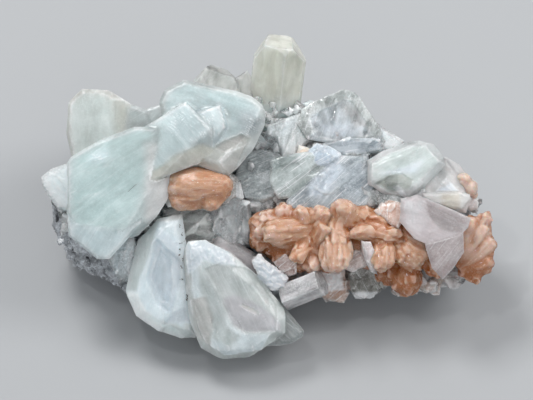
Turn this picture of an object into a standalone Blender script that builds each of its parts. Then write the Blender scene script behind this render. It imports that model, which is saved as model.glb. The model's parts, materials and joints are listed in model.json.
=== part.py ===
"""A zeolite cluster: pale tabular blades and peach stilbite sheaves grown on a grey rock, lying on its cut base.

Places are given on the crystal-covered face of the specimen, in millimetres: across to the right, up the
sloping face, and out of it. The face's centre is FACE_HEIGHT above the base, and the face looks towards -Y
and up. The solids are built in metres, +Z up, with the base in the plane Z = 0.
"""

import math

import bmesh
import bpy
from mathutils import Vector, noise

MM = 0.001
GAP = 0.32
FACE_ELEVATION = math.radians(55)
FACE_HEIGHT = 36.0
BLOCK = 200.0
SHEAF_SIDES = 8
# How a sheaf widens along its length: share of the length, of the full width and of the full depth
SHEAF_PROFILE = (
    (0.00, 0.50, 0.60),
    (0.30, 0.74, 0.82),
    (0.60, 0.95, 1.00),
    (0.80, 1.00, 0.96),
    (0.93, 0.80, 0.70),
    (1.00, 0.40, 0.30),
)
ROCK_AROUND = 44
# The rock's rings from the middle of its top to its base: share of the outline, depth under the top
ROCK_TOP_RINGS = ((0.3, 0.0), (0.6, 0.6), (0.82, 1.6), (0.94, 3.2), (1.0, 6.0))
ROCK_WALL_RINGS = (0.12, 0.3, 0.5, 0.7, 0.88)
ROCK_TOP_OUT = -8.0
ROCK_ROUGHNESS = 1.5
ROCK_LOWEST_LEDGE = 0.8
ROCK_UNDERCUT = 0.93
ROCK_GRAIN = 0.11
ROCK_LEDGES = 0.16

RIGHT = Vector((1, 0, 0))
UP_FACE = Vector((0, math.sin(FACE_ELEVATION), math.cos(FACE_ELEVATION)))
OUT = Vector((0, -math.cos(FACE_ELEVATION), math.sin(FACE_ELEVATION)))
FACE_CENTRE = Vector((0.3, -8.7, FACE_HEIGHT))
ROCK_MIDDLE = Vector((0.3, 11.3, 0))


def on_face(across, up, out):
    """A place on the crystal face as a point of the model, in millimetres."""
    return FACE_CENTRE + RIGHT * across + UP_FACE * up + OUT * out


def middle_of(outline):
    """The mean of an outline's corners."""
    return tuple(sum(corner[i] for corner in outline) / len(outline) for i in range(2))


def convex_solid(planes, grow):
    """The solid inside all the planes, each a point and an outward normal, with every plane moved out by grow."""
    bm = bmesh.new()
    bmesh.ops.create_cube(bm, size=BLOCK)
    bmesh.ops.translate(bm, verts=bm.verts, vec=planes[0][0])
    for point, normal in planes:
        cut = bmesh.ops.bisect_plane(
            bm,
            geom=bm.verts[:] + bm.edges[:] + bm.faces[:],
            dist=1e-4,
            plane_co=point + normal * grow,
            plane_no=normal,
            clear_outer=True,
        )
        rim = [item for item in cut["geom_cut"] if isinstance(item, bmesh.types.BMEdge)]
        if rim:
            bmesh.ops.edgeloop_fill(bm, edges=rim)
    bmesh.ops.recalc_face_normals(bm, faces=bm.faces)
    return bm


def plate(outline, out, lean=(0.0, 0.0), thick=8.0, rim=(2.0, 2.0), wide=None, taper=12.0):
    """A tabular blade: its outline on the face, its front's height and slopes, and its bevelled rim.

    rim is the bevel's width on the front and its depth down the side, and wide gives other bevels by edge.
    """
    area = sum(
        a[0] * b[1] - b[0] * a[1] for a, b in zip(outline, outline[1:] + outline[:1])
    )
    if area < 0:
        outline = outline[::-1]
        wide = {len(outline) - 2 - edge: size for edge, size in (wide or {}).items()}
    centre = middle_of(outline)
    corners = [
        on_face(a, b, out + lean[0] * (a - centre[0]) + lean[1] * (b - centre[1]))
        for a, b in outline
    ]
    middle = on_face(*centre, out)
    normal = (OUT - RIGHT * lean[0] - UP_FACE * lean[1]).normalized()
    slant = math.radians(taper)
    planes = [(middle, normal), (middle - normal * thick, -normal)]
    for edge, (first, second) in enumerate(zip(corners, corners[1:] + corners[:1])):
        side = (second - first).cross(normal).normalized()
        width, depth = (wide or {}).get(edge, rim)
        planes.append((first, side * math.cos(slant) - normal * math.sin(slant)))
        planes.append((first - side * width, (side * depth + normal * width).normalized()))
    return lambda grow: convex_solid(planes, grow)


def prism(root, tip, sides, caps):
    """A long crystal from root to tip: side faces by angle and distance, and end faces by angle, tilt and distance."""
    root, tip = on_face(*root), on_face(*tip)
    axis = (tip - root).normalized()
    front = (OUT - axis * OUT.dot(axis)).normalized()
    right = axis.cross(front)

    def around(angle):
        return front * math.cos(math.radians(angle)) + right * math.sin(math.radians(angle))

    planes = [(root, -axis)]
    planes += [(root + around(angle) * distance, around(angle)) for angle, distance in sides]
    for angle, tilt, distance in caps:
        lean = math.radians(tilt)
        normal = axis * math.cos(lean) + around(angle) * math.sin(lean)
        planes.append((tip + normal * distance, normal))
    return lambda grow: convex_solid(planes, grow)


def tablet(root, tip, width, depth, turn=0):
    """A flattened crystal with a chisel end, its broad face turned about its axis."""
    sides = [(turn, depth / 2), (turn + 180, depth / 2), (turn + 90, width / 2), (turn - 90, width / 2)]
    sides += [(turn + 52, width * 0.42), (turn - 128, width * 0.42)]
    caps = [(0, 0, 0), (turn + 90, 40, width * 0.2), (turn - 90, 55, width * 0.3), (turn, 60, depth * 0.3)]
    return prism(root, tip, sides, caps)


def sheaf(root, tip, width, depth, turn=0.0):
    """A stilbite sheaf that widens from its root to a domed end, its broad side turned about its axis."""
    root, tip = on_face(*root), on_face(*tip)

    def build(grow):
        axis = (tip - root).normalized()
        front = (OUT - axis * OUT.dot(axis)).normalized()
        side = axis.cross(front)
        angle = math.radians(turn)
        broad = side * math.cos(angle) + front * math.sin(angle)
        thin = front * math.cos(angle) - side * math.sin(angle)
        start, length = root - axis * grow, (tip - root).length + 2 * grow
        bm = bmesh.new()
        rings = []
        for share, wide, deep in SHEAF_PROFILE:
            ring = []
            for step in range(SHEAF_SIDES):
                turned = 2 * math.pi * step / SHEAF_SIDES
                across = math.copysign(abs(math.cos(turned)) ** 0.7, math.cos(turned))
                outward = math.copysign(abs(math.sin(turned)) ** 0.7, math.sin(turned))
                ring.append(
                    bm.verts.new(
                        start
                        + axis * (length * share)
                        + broad * ((width * wide / 2 + grow) * across)
                        + thin * ((depth * deep / 2 + grow) * outward)
                    )
                )
            rings.append(ring)
        join_rings(bm, rings)
        bm.faces.new(rings[0])
        bm.faces.new(rings[-1])
        bmesh.ops.recalc_face_normals(bm, faces=bm.faces)
        return bm

    return build


def lump(centre, radii):
    """A rounded mass inside a group of sheaves, its radii across, up and out of the face."""

    def build(grow):
        bm = bmesh.new()
        bmesh.ops.create_icosphere(bm, subdivisions=2, radius=1)
        middle = on_face(*centre)
        for vert in bm.verts:
            across, up, out = (vert.co[i] * (radii[i] + grow) for i in range(3))
            vert.co = middle + RIGHT * across + UP_FACE * up + OUT * out
        return bm

    return build


def join_rings(bm, rings):
    """Faces between each ring of vertices and the next."""
    for low, high in zip(rings, rings[1:]):
        for here, there in zip(range(len(low)), list(range(1, len(low))) + [0]):
            bm.faces.new((low[here], low[there], high[there], high[here]))


LEFT_BLADES = (
    plate([(-61.6, 20), (-61, 29.3), (-56.6, 33.6), (-48.5, 33.2), (-41.5, 29), (-39.5, 14), (-45, 8), (-60, 12)],
          -4, (-0.05, 0.1), 14, (1.4, 1.6), {3: (2.2, 2.6), 4: (6.2, 5.0)}),
    plate([(-43.5, 28.8), (-37, 27.8), (-33, 29.2), (-29, 26), (-33, 16), (-44, 14)], -7, (0.1, 0), 9, (1.5, 1.5)),
    plate([(-69.5, 6.8), (-66.6, 9.4), (-61, 11.4), (-52, 12), (-50, -4), (-64.5, -3.5), (-69, 3.5)],
          -2, (0.2, 0.1), 13, (1.6, 2.2)),
    plate([(-61, 11), (-59.7, 13), (-51, 18), (-40.5, 22), (-31, 22), (-28.5, 15), (-30, 0), (-33, -5),
           (-39.5, -11.5), (-48, -13), (-57, -11.5), (-61, -4)],
          7, (0.05, 0.08), 18, (2.2, 2.6), {0: (1.2, 2), 1: (1.2, 2), 5: (7, 3.0), 6: (7, 3.6), 7: (5, 3)}),
    plate([(-60.8, 2), (-59, -11), (-55, -15.5), (-52, -17.6), (-48, -17.6), (-44, -13.5), (-38.5, -7), (-38, 4)],
          4.5, (0.02, 0.12), 16, (2.2, 2.2)),
    plate([(-40, 19), (-36, 23), (-25.3, 29.5), (-17.5, 21.5), (-16.5, 15), (-21, 10.5), (-36, 6)],
          9, (-0.06, 0.02), 9, (1.2, 1.6), {4: (6, 3)}),
    plate([(-20, 27.3), (-14.8, 28.3), (-13.2, 21.6), (-16.8, 18), (-21, 21)], 7.6, (0, 0.05), 8, (0.8, 1.0)),
    plate([(-33.6, 29.5), (-31.8, 33.4), (-25.8, 36.3), (-18.3, 35), (-10, 33), (-5.2, 31.3), (-2, 28.8),
           (-0.6, 25.7), (-0.8, 22), (-4, 15.5), (-9, 9.6), (-12.3, 6.8), (-19.5, 9.5), (-30, 14)],
          5, (-0.05, -0.1), 17, (1.6, 1.8), {8: (4.5, 4), 9: (6.5, 4.5), 10: (6.5, 4.5), 11: (3, 3)}),
)
FRONT_LEFT_BLADE = (
    plate([(-33.5, -5.5), (-39.8, -12), (-42, -20), (-43.8, -27.3), (-40, -35), (-33.3, -39.2), (-26.5, -41.6),
           (-22.5, -41.5), (-23.4, -33), (-25, -22.5), (-26.2, -12), (-28, -6)],
          1.5, (-0.06, 0.06), 13, (3.4, 2.0), {0: (4, 3), 1: (4.6, 3), 2: (4.2, 3), 8: (1, 1), 9: (1, 1)}),
)
FRONT_RIGHT_BLADES = (
    plate([(-25.5, -16), (-23.5, -13), (-19.5, -12), (-11.5, -16), (-2, -24), (4.6, -33), (4.6, -40.5),
           (-2.4, -45), (-6, -47.4), (-14.5, -48.2), (-20.3, -44.2), (-24.2, -37), (-24.6, -26)],
          3.2, (0.05, 0.02), 11.5, (2.6, 2.0), {3: (4, 3), 4: (4, 3), 8: (3.6, 3), 12: (1, 1), 11: (5, 3)}),
    plate([(-5, -26), (2, -28.5), (4, -31), (10.9, -37.5), (10.2, -41.2), (6.3, -43.4), (-0.8, -44), (-6, -39)],
          0.2, (-0.1, 0.05), 10, (1.6, 1.8)),
    plate([(-19, -12.6), (-15.5, -10.5), (-9, -13.3), (-2, -17.4), (-1, -23), (-9, -24)],
          -1.5, (0.1, 0.15), 11, (1.4, 1.4)),
    plate([(-5.2, -16.8), (-1, -17.3), (5.4, -23.2), (3, -27), (-1, -28), (-4.8, -20.7)],
          3, (-0.15, 0.1), 14, (1.0, 1.0)),
)
TALL_CRYSTAL = (
    prism((0.4, 17, -17), (3.8, 47.6, -4),
          [(-90, 8.3), (90, 7.8), (-18, 5.0), (35, 5.4), (180, 5.5), (-140, 6.6), (140, 6.6), (66, 7.0)],
          [(0, 6, 0), (-90, 58, 4.1), (90, 49, 2.2), (0, 58, 3.6), (180, 45, 3.4)]),
)
BACK_TIPS = (
    plate([(-25.4, 34), (-20, 40.2), (-18, 42), (-12.6, 40.2), (-9.4, 36), (-8, 24), (-23, 22)],
          -5.5, (0.05, -0.2), 10, (1.2, 1.6), {2: (3, 3)}),
    plate([(-10.5, 37.2), (-6.8, 39.6), (-4.5, 35), (-4.5, 23), (-11, 23)], -8, (0, -0.1), 8, (0.8, 1)),
)
WINDOW_PLATE = (
    plate([(8, 23), (9.6, 27.6), (13.2, 29.8), (22.2, 33.6), (26.1, 32.5), (31.4, 24.4), (35.4, 20.4),
           (33, 16), (20, 16.5), (11, 18)],
          -2.5, (-0.02, -0.12), 12, (3.2, 1.6), {2: (3.2, 1.0), 4: (3.2, 1.4), 7: (1, 1), 8: (1, 1)}),
    plate([(30, 24), (31.5, 24.5), (35.5, 20.8), (40.6, 17.8), (38, 13), (28, 13.5)], -4.5, (0.05, 0), 10, (1, 1)),
    plate([(-2, 26), (8.5, 27.5), (13.6, 21), (5.5, 12.6), (1.4, 12.6), (-3, 16)],
          -3.6, (-0.1, -0.1), 10, (1.2, 1.2)),
)
CENTRE_PLATES = (
    plate([(-9.5, 9.4), (-6, 14.2), (-2.4, 15), (2.4, 12.6), (3.6, 3.4), (-2.4, 0.4), (-7.2, 1.5), (-10.5, 5)],
          -3, (0.12, -0.05), 9, (1.6, 1.6)),
    plate([(1, 11.5), (3.5, 12.6), (10.5, 13.4), (20.4, 12.8), (14.4, 6), (8, 1.6), (3, 1), (0.5, 6)],
          0, (-0.08, 0.05), 12, (1.2, 1.4)),
    plate([(5.5, -3.8), (12.6, -4.5), (27.4, -3.6), (31.4, 6), (28.6, 12.8), (20.4, 12.8), (6, -1)],
          0.8, (0.05, -0.06), 12, (1.4, 1.6)),
    plate([(13, 15.6), (20.2, 14.2), (19.4, 9), (12, 10.5)], 2.4, (0.1, 0.1), 8, (0.8, 1)),
    plate([(8.5, 16.8), (13.2, 15), (12.5, 11.5), (8, 12)], -1.6, (-0.1, 0.1), 8, (0.8, 0.8)),
)
RIGHT_PLATES = (
    plate([(28.5, 12.4), (33.3, 15), (40.6, 17.8), (44.5, 18.4), (49.3, 17.2), (52.3, 13.6), (53.4, 8),
           (50, 2.6), (42.5, 0.5), (33, 2), (29, 5)],
          3.4, (0.03, -0.12), 16, (2.0, 2.0), {4: (3, 3), 7: (4, 3), 8: (4.5, 3)}),
    plate([(47, 12), (52.8, 13.4), (57.6, 11.2), (60.2, 7.6), (61.4, 2), (59, -4), (52.5, -4), (46, 0)],
          0.2, (-0.1, -0.08), 13, (1.8, 2.0), {2: (4, 3), 3: (3, 3)}),
    plate([(48, 3.5), (59, 3.2), (60, -2), (56, -4.6), (47, -1)], 2.2, (-0.05, 0.1), 7, (0.8, 1.2)),
)
VIOLET_PLATES = (
    plate([(38, -6), (39, 0.4), (43.8, 1.9), (47.4, 0.3), (60.2, -5.2), (59.2, -8.4), (56.4, -11.2),
           (48, -13.8), (42, -12)],
          8, (0.04, 0.02), 6.5, (1.4, 1.6), {4: (9, 2.4)}),
    plate([(44.5, -10), (56, -10.3), (58, -15.6), (55, -20.2), (51.6, -23.8), (47.8, -21), (46.5, -16.5)],
          6, (0, 0.08), 6.5, (1.4, 1.6)),
)
PLATES_UNDER_BUD = (
    plate([(-16.4, 3), (-9.5, 5), (-8.4, -4.5), (-10.2, -13), (-14.5, -13), (-18, -4)],
          -2.2, (0.1, 0), 9, (1.2, 1.4)),
    plate([(-31, -3.5), (-21, -1), (-16.6, -4), (-15.5, -14), (-24, -15), (-28.5, -10)],
          -4, (-0.05, 0.1), 8, (1.4, 1.4)),
)
SMALL_PRISM = (
    prism((3.8, -29.2, -1), (15.2, -24.6, 2),
          [(-22, 3.4), (52, 3.7), (-90, 3.9), (95, 4.2), (180, 4), (-140, 4.2), (140, 4.2)],
          [(0, 8, 0.2), (50, 35, 2.2), (-60, 40, 2.6)]),
)
GLASSY_FOOT = (
    plate([(23.4, -19), (31, -18.5), (36, -26), (30, -30), (25.2, -30.4), (23.2, -25.5)],
          -7, (0.1, 0.1), 9, (1.2, 1.6)),
    plate([(20, -21), (27, -21), (26, -27.5), (21, -27)], -9, (0, 0), 8, (1.0, 1.0)),
    plate([(14, -21), (22.5, -20.5), (24.4, -27), (22.5, -31.4), (16.4, -31), (13.4, -27)],
          -5, (-0.1, 0.1), 9, (1.2, 1.4)),
)
RIGHT_FOOT = (
    plate([(44.5, -20), (52, -19.5), (61, -22), (58.4, -25.6), (51, -26.6), (45.4, -26)],
          -7, (0, 0.15), 9, (1, 1.4)),
)
BACK_CRYSTALS_LEFT = (
    tablet((-47, 11, -27), (-54, 30.5, -23), 11, 6),
    tablet((-47, 12, -30), (-45, 29, -33), 10, 6, 20),
    tablet((-45, 12, -27), (-37, 26.5, -25), 9, 6, -15),
    tablet((-46, 10, -34), (-43, 26, -43), 8, 5, 35),
)
BACK_CRYSTALS_MIDDLE = (
    tablet((-16, 13, -29), (-25, 31.5, -25), 11, 6),
    tablet((-14, 14, -28), (-13, 35.5, -21), 12, 7, 10),
    tablet((-12, 13, -31), (-3, 32, -34), 10, 6, -20),
    tablet((-15, 12, -33), (-19, 29, -43), 9, 6, 25),
)
BACK_CRYSTALS_RIGHT = (
    tablet((19, 8, -28), (9, 29, -27), 11, 6, 10),
    tablet((20, 9, -27), (23.5, 30, -21), 11, 7, -10),
    tablet((21, 8, -30), (31, 22, -28), 9, 6, 15),
    tablet((19, 8, -33), (20, 26, -42), 9, 5, -25),
)
BACK_CRYSTALS_END = (
    tablet((44, 2, -25), (41, 17, -23), 9, 6, 10),
    tablet((45, 2, -26), (51.5, 12, -22), 8, 5, -20),
    tablet((44, 1, -28), (47, 13, -35), 7, 5, 20),
)
PEACH_BUD = (
    sheaf((-10.0, 3.2, 0.6), (-32.6, 4.0, 5.6), 12.4, 9.5),
    sheaf((-12, 2, 1), (-25.5, -2.6, 4), 6.2, 6),
    sheaf((-12.5, 1.5, 3), (-19, -3.4, 5.5), 5.6, 4.6),
)
PEACH_LEFT = (
    lump((11, -10.5, -5.5), (15, 9.5, 7.5)),
    sheaf((12.5, -8.0, -1), (-3.2, -10.8, 5.5), 9.6, 7, 8),
    sheaf((9, -7, -4), (-7.6, -8.4, 0), 14, 8, -12),
    sheaf((12.5, -9, -4), (2.6, -1.2, 1.6), 9, 6),
    sheaf((13, -10, -2), (9.6, -1.2, 4.5), 7, 6, 20),
    sheaf((14.5, -10, -2), (15.8, -1.8, 4), 7.4, 6),
    sheaf((20, -6, 0), (14.6, -14.6, 6.5), 6, 5),
    sheaf((13, -8.0, 0), (5.0, -19.6, 4.5), 6.4, 6, -15),
    sheaf((11, -10, -5), (1.0, -18.8, -1), 8.6, 7),
    sheaf((15, -10, -4), (10.0, -22.4, 1.5), 7, 6.6),
    sheaf((17, -10, -5), (16.2, -21.5, 0.4), 7.2, 6.6),
)
PEACH_MIDDLE = (
    lump((35, -13.5, -5.5), (14, 10, 7.5)),
    sheaf((22.5, -12, -3), (22.8, -0.2, 4.5), 10, 6),
    sheaf((36, -12, -4), (27.8, -2.6, 3), 9.5, 6, 10),
    sheaf((38, -11, -3), (34.6, 0.0, 1), 10, 6),
    sheaf((39, -9.6, 1), (23.6, -9.4, 7.4), 6, 6),
    sheaf((22, -7.5, 1), (20.3, -22.6, 6.8), 9.4, 6.4, 6),
    sheaf((36.5, -10, 1), (32.6, -23.4, 6.0), 10.4, 6.6, -10),
    sheaf((37, -9, 0), (47.5, -18.5, 3), 11, 7.5, -8),
    sheaf((36, -13, -4), (42.0, -28.8, 0), 12.6, 9, -6),
    sheaf((33, -14, -6), (34.0, -27.0, -3), 9, 8),
    sheaf((44, -10, -3), (53, -22.5, -1), 9, 7),
)
PEACH_RIGHT = (
    lump((61, -14, -7), (6.5, 9.5, 7)),
    sheaf((62.2, -2.0, -2), (60.6, -25.6, -1), 13.4, 10),
    sheaf((60, -9, -5), (66.6, -4.2, -1.5), 8, 6.5, -10),
    sheaf((61.5, -12, -5), (65.8, -24.8, -4), 7, 7),
    sheaf((61, -8, -3), (54.5, -23.0, 0), 9, 7),
)
PEACH_EDGE = (
    sheaf((62.2, -0.6, -6), (56.6, 7.6, -1.2), 5.4, 4.6, 10),
)


ROCK_OUTLINE = (
    (-65.6, -1), (-66.4, -8), (-66, -14.5), (-62.6, -18.6), (-54, -22.6), (-45, -28), (-30, -31.5), (-10, -31),
    (5, -28.5), (25, -26), (45, -24), (59, -22), (63, -14), (61, -2), (55, 6), (45, 13), (33, 17),
    (20, 22), (5, 25), (-10, 27), (-25, 27), (-38, 25), (-50, 24), (-58, 17), (-62, 8),
)


def round_outline(share):
    """A point of the rock's outline, by the share of the way round it."""
    place = share * len(ROCK_OUTLINE)
    first = int(place) % len(ROCK_OUTLINE)
    second = (first + 1) % len(ROCK_OUTLINE)
    part = place - int(place)
    return Vector(ROCK_OUTLINE[first]).lerp(Vector(ROCK_OUTLINE[second]), part)


def rock(grow):
    """The matrix: a rough top under the crystals, and walls that run down and back to a flat cut base."""
    bm = bmesh.new()
    centre = Vector(middle_of(ROCK_OUTLINE))
    edge = [round_outline(step / ROCK_AROUND) for step in range(ROCK_AROUND)]
    rings = []
    for share, drop in ROCK_TOP_RINGS:
        places = [centre + (point - centre) * share for point in edge]
        rings.append([on_face(place.x, place.y, ROCK_TOP_OUT - drop) for place in places])
    foot = []
    for point in rings[-1]:
        below = point - OUT * (point.z / OUT.z)
        foot.append(ROCK_MIDDLE + (below - ROCK_MIDDLE) * ROCK_UNDERCUT)
    top_edge = rings[-1]
    for share in ROCK_WALL_RINGS:
        rings.append([high.lerp(low, share) for high, low in zip(top_edge, foot)])
    rings.append(foot)
    layers = []
    for number, ring in enumerate(rings):
        moved = []
        for point in ring:
            rough = noise.fractal(point * ROCK_GRAIN, 0.7, 2.1, 4) * 2
            ledge = noise.cell(point * ROCK_LEDGES)
            outward = (point - ROCK_MIDDLE - Vector((0, 0, FACE_HEIGHT / 3))).normalized()
            place = point + outward * (rough + ledge - 1) * ROCK_ROUGHNESS
            place.z = 0 if number == len(rings) - 1 else max(place.z, ROCK_LOWEST_LEDGE)
            moved.append(bm.verts.new(place))
        layers.append(moved)
    join_rings(bm, layers)
    bm.faces.new(layers[0])
    bm.faces.new(layers[-1])
    bmesh.ops.recalc_face_normals(bm, faces=bm.faces)
    return bm


def helper(bm, name):
    """A shape as a hidden helper object, in metres."""
    bmesh.ops.scale(bm, verts=bm.verts, vec=(MM, MM, MM))
    mesh = bpy.data.meshes.new(name)
    bm.to_mesh(mesh)
    bm.free()
    made = bpy.data.objects.new(name, mesh)
    made.hide_render = True
    made.display_type = "WIRE"
    return made


def collect(name, shapes):
    """A collection of helper objects."""
    group = bpy.data.collections.new(name)
    bpy.context.scene.collection.children.link(group)
    for shape in shapes:
        group.objects.link(shape)
    return group


def boolean(obj, operation, group):
    """A Boolean modifier with a whole collection."""
    modifier = obj.modifiers.new(operation.title(), "BOOLEAN")
    modifier.operation = operation
    modifier.operand_type = "COLLECTION"
    modifier.collection = group
    modifier.solver = "EXACT"


def keep_largest(bm):
    """Deletes every island of the mesh but the one with the most volume."""
    left, islands = set(bm.verts), []
    while left:
        stack, island = [left.pop()], set()
        while stack:
            vert = stack.pop()
            island.add(vert)
            for edge in vert.link_edges:
                other = edge.other_vert(vert)
                if other in left:
                    left.discard(other)
                    stack.append(other)
        islands.append(island)

    def size(island):
        corners = [vert.co for vert in island]
        return math.prod(max(c[i] for c in corners) - min(c[i] for c in corners) for i in range(3))

    islands.sort(key=size)
    for island in islands[:-1]:
        bmesh.ops.delete(bm, geom=list(island), context="VERTS")


def node(name, shapes, others, material, smooth=0):
    """One named solid: its shapes joined, less the room that the solids before it take up."""
    first, rest = shapes[0], shapes[1:]
    obj = helper(first(0), name)
    obj.hide_render = False
    obj.display_type = "TEXTURED"
    bpy.context.scene.collection.objects.link(obj)
    groups = []
    if rest:
        groups.append(collect(name + "_join", [helper(shape(0), "join") for shape in rest]))
        boolean(obj, "UNION", groups[-1])
    if others:
        groups.append(collect(name + "_cut", [helper(shape(GAP), "cut") for shape in others]))
        boolean(obj, "DIFFERENCE", groups[-1])
    graph = bpy.context.evaluated_depsgraph_get()
    made = bpy.data.meshes.new_from_object(obj.evaluated_get(graph))
    obj.modifiers.clear()
    bm = bmesh.new()
    bm.from_mesh(made)
    keep_largest(bm)
    bmesh.ops.remove_doubles(bm, verts=bm.verts, dist=0.005 * MM)
    bmesh.ops.triangulate(bm, faces=bm.faces)
    bm.to_mesh(obj.data)
    bm.free()
    bpy.data.meshes.remove(made)
    for group in groups:
        for shape in list(group.objects):
            bpy.data.objects.remove(shape)
        bpy.data.collections.remove(group)
    obj.data.materials.clear()
    obj.data.materials.append(material)
    if smooth:
        obj.data.shade_smooth()
        obj.data.set_sharp_from_angle(angle=math.radians(smooth))
    return obj


def material(name, colour, roughness, transmission=0.0):
    """A plain surface of one colour."""
    made = bpy.data.materials.new(name)
    made.use_nodes = True
    surface = made.node_tree.nodes["Principled BSDF"]
    surface.inputs["Base Color"].default_value = (*colour, 1)
    surface.inputs["Roughness"].default_value = roughness
    surface.inputs["Metallic"].default_value = 0
    surface.inputs["Transmission Weight"].default_value = transmission
    return made


def main():
    for old in list(bpy.data.objects):
        bpy.data.objects.remove(old)
    milky = material("milky_blade", (0.66, 0.76, 0.75), 0.3)
    beige = material("beige_blade", (0.66, 0.67, 0.6), 0.35)
    glassy = material("glassy_plate", (0.72, 0.76, 0.77), 0.2, 0.4)
    violet = material("violet_plate", (0.63, 0.6, 0.65), 0.25, 0.4)
    peach = material("peach_stilbite", (0.72, 0.42, 0.28), 0.4)
    grey = material("grey_rock", (0.3, 0.31, 0.32), 0.8)
    nodes = (
        ("left_blades", LEFT_BLADES, milky, 0),
        ("front_left_blade", FRONT_LEFT_BLADE, milky, 0),
        ("front_right_blades", FRONT_RIGHT_BLADES, milky, 0),
        ("tall_crystal", TALL_CRYSTAL, beige, 0),
        ("back_tips", BACK_TIPS, beige, 0),
        ("window_plate", WINDOW_PLATE, glassy, 0),
        ("centre_plates", CENTRE_PLATES, glassy, 0),
        ("right_plates", RIGHT_PLATES, milky, 0),
        ("violet_plates", VIOLET_PLATES, violet, 0),
        ("plates_under_bud", PLATES_UNDER_BUD, glassy, 0),
        ("small_prism", SMALL_PRISM, glassy, 0),
        ("glassy_foot", GLASSY_FOOT, glassy, 0),
        ("right_foot", RIGHT_FOOT, glassy, 0),
        ("back_crystals_left", BACK_CRYSTALS_LEFT, milky, 0),
        ("back_crystals_middle", BACK_CRYSTALS_MIDDLE, beige, 0),
        ("back_crystals_right", BACK_CRYSTALS_RIGHT, milky, 0),
        ("back_crystals_end", BACK_CRYSTALS_END, glassy, 0),
        ("peach_bud", PEACH_BUD, peach, 40),
        ("peach_sheaves_left", PEACH_LEFT, peach, 40),
        ("peach_sheaves_middle", PEACH_MIDDLE, peach, 40),
        ("peach_sheaves_right", PEACH_RIGHT, peach, 40),
        ("peach_sheaf_edge", PEACH_EDGE, peach, 40),
        ("matrix_rock", (rock,), grey, 0),
    )
    before = []
    for name, shapes, surface, smooth in nodes:
        node(name, shapes, before, surface, smooth)
        before += shapes


main()
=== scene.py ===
"""Looks of the zeolite cluster: milky and clear blades, peach stilbite sheaves and the grey rock below them.

Places are in millimetres on the crystal-covered face, as in the part's source: across to the right, up the
sloping face, and out of it. Each group of crystals is one piece, grown together by a fine voxel remesh and
then given its growth steps, striations and pits as real relief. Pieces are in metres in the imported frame.
"""

import json
import math

import bmesh
import bpy
import numpy as np
from mathutils import Euler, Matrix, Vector


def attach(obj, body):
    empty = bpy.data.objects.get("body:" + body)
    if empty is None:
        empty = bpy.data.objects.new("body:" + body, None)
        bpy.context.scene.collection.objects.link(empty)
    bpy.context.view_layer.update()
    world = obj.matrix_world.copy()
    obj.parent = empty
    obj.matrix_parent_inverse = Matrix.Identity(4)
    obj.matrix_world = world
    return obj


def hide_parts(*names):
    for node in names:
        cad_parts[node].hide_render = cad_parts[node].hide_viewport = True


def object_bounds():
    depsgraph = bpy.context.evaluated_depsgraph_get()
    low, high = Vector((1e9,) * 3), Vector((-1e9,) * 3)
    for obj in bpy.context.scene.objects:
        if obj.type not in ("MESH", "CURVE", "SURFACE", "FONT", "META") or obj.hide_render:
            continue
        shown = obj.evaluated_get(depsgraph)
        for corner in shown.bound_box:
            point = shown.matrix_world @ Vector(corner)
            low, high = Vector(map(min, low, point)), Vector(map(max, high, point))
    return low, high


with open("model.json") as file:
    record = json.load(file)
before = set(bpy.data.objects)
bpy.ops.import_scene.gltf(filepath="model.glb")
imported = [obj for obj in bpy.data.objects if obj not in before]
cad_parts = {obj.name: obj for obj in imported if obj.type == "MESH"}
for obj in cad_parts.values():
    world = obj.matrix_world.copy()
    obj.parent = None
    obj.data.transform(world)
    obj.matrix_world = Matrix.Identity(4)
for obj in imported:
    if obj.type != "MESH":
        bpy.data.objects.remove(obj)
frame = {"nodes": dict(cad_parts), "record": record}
CAD_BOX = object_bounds()

MM = 0.001
FACE_ELEVATION = math.radians(55)
RIGHT = Vector((1, 0, 0))
UP_FACE = Vector((0, math.sin(FACE_ELEVATION), math.cos(FACE_ELEVATION)))
OUT = Vector((0, -math.cos(FACE_ELEVATION), math.sin(FACE_ELEVATION)))
FACE_CENTRE = Vector((0.3, -8.7, 36.0))
RANDOM_SEED = 12

# The cube that planes cut crystals from, and how close to a plane a corner counts as on it
BLOCK = 200.0
ON_PLANE = 1e-4

# How softly growth zones follow each other, in millimetres, and how much clearer a crystal's rim is
ZONE_BLUR = 0.8
RIM_CLEARNESS = 0.15

# The photograph: its width in pixels, the real width of a pixel there, and the point that its middle looks at
PHOTO_WIDTH = 533
PIXEL_MM = 0.3
PHOTO_MIDDLE = (-1.05, 0.0, 0.0)
CAMERA_DISTANCE = 1.5
CAMERA_CLIP = (0.05, 20)
SENSOR_MM = 36.0

# Growth layers that stand on a blade: how many, how far each steps in, how high it is, and the stepped edges
NO_LAYERS = (0, 0.0, 0.0, ())
SIDE_TAPER = math.radians(12)
PRISM_RIM = 1.5

# A tablet's bevels: their angles from its broad face, and how far out they are for its width
TABLET_BEVELS = (52, -128)
TABLET_BEVEL_REACH = 0.42
# A tablet's slanted ends: angle from its broad face, tilt, and place beyond the tip for its width and depth
TABLET_ENDS = ((90, 40, 0.2, 0.0), (-90, 55, 0.3, 0.0), (0, 60, 0.0, 0.3))

# The shares of a ridge's spacing over which it climbs and falls
RIDGE_CLIMB = 0.72
RIDGE_FALL = 0.28

# How a sheaf's leaf widens along its length: share of the length, of the full width and of the full depth
LEAF_PROFILE = (
    (0.00, 0.70, 0.72),
    (0.30, 0.84, 0.88),
    (0.62, 0.98, 1.00),
    (0.85, 1.00, 0.98),
    (0.95, 0.88, 0.84),
    (1.00, 0.62, 0.52),
)
LEAF_SIDES = 14
# How blunt a leaf's sides are across it and through it: less is blunter
LEAF_BLUNTNESS = (0.65, 0.7)
# A leaf's width for its sheaf's, and how far the leaves' roots spread for their tips
LEAF_WIDTH = 0.66
ROOT_SPREAD = 0.62
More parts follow.
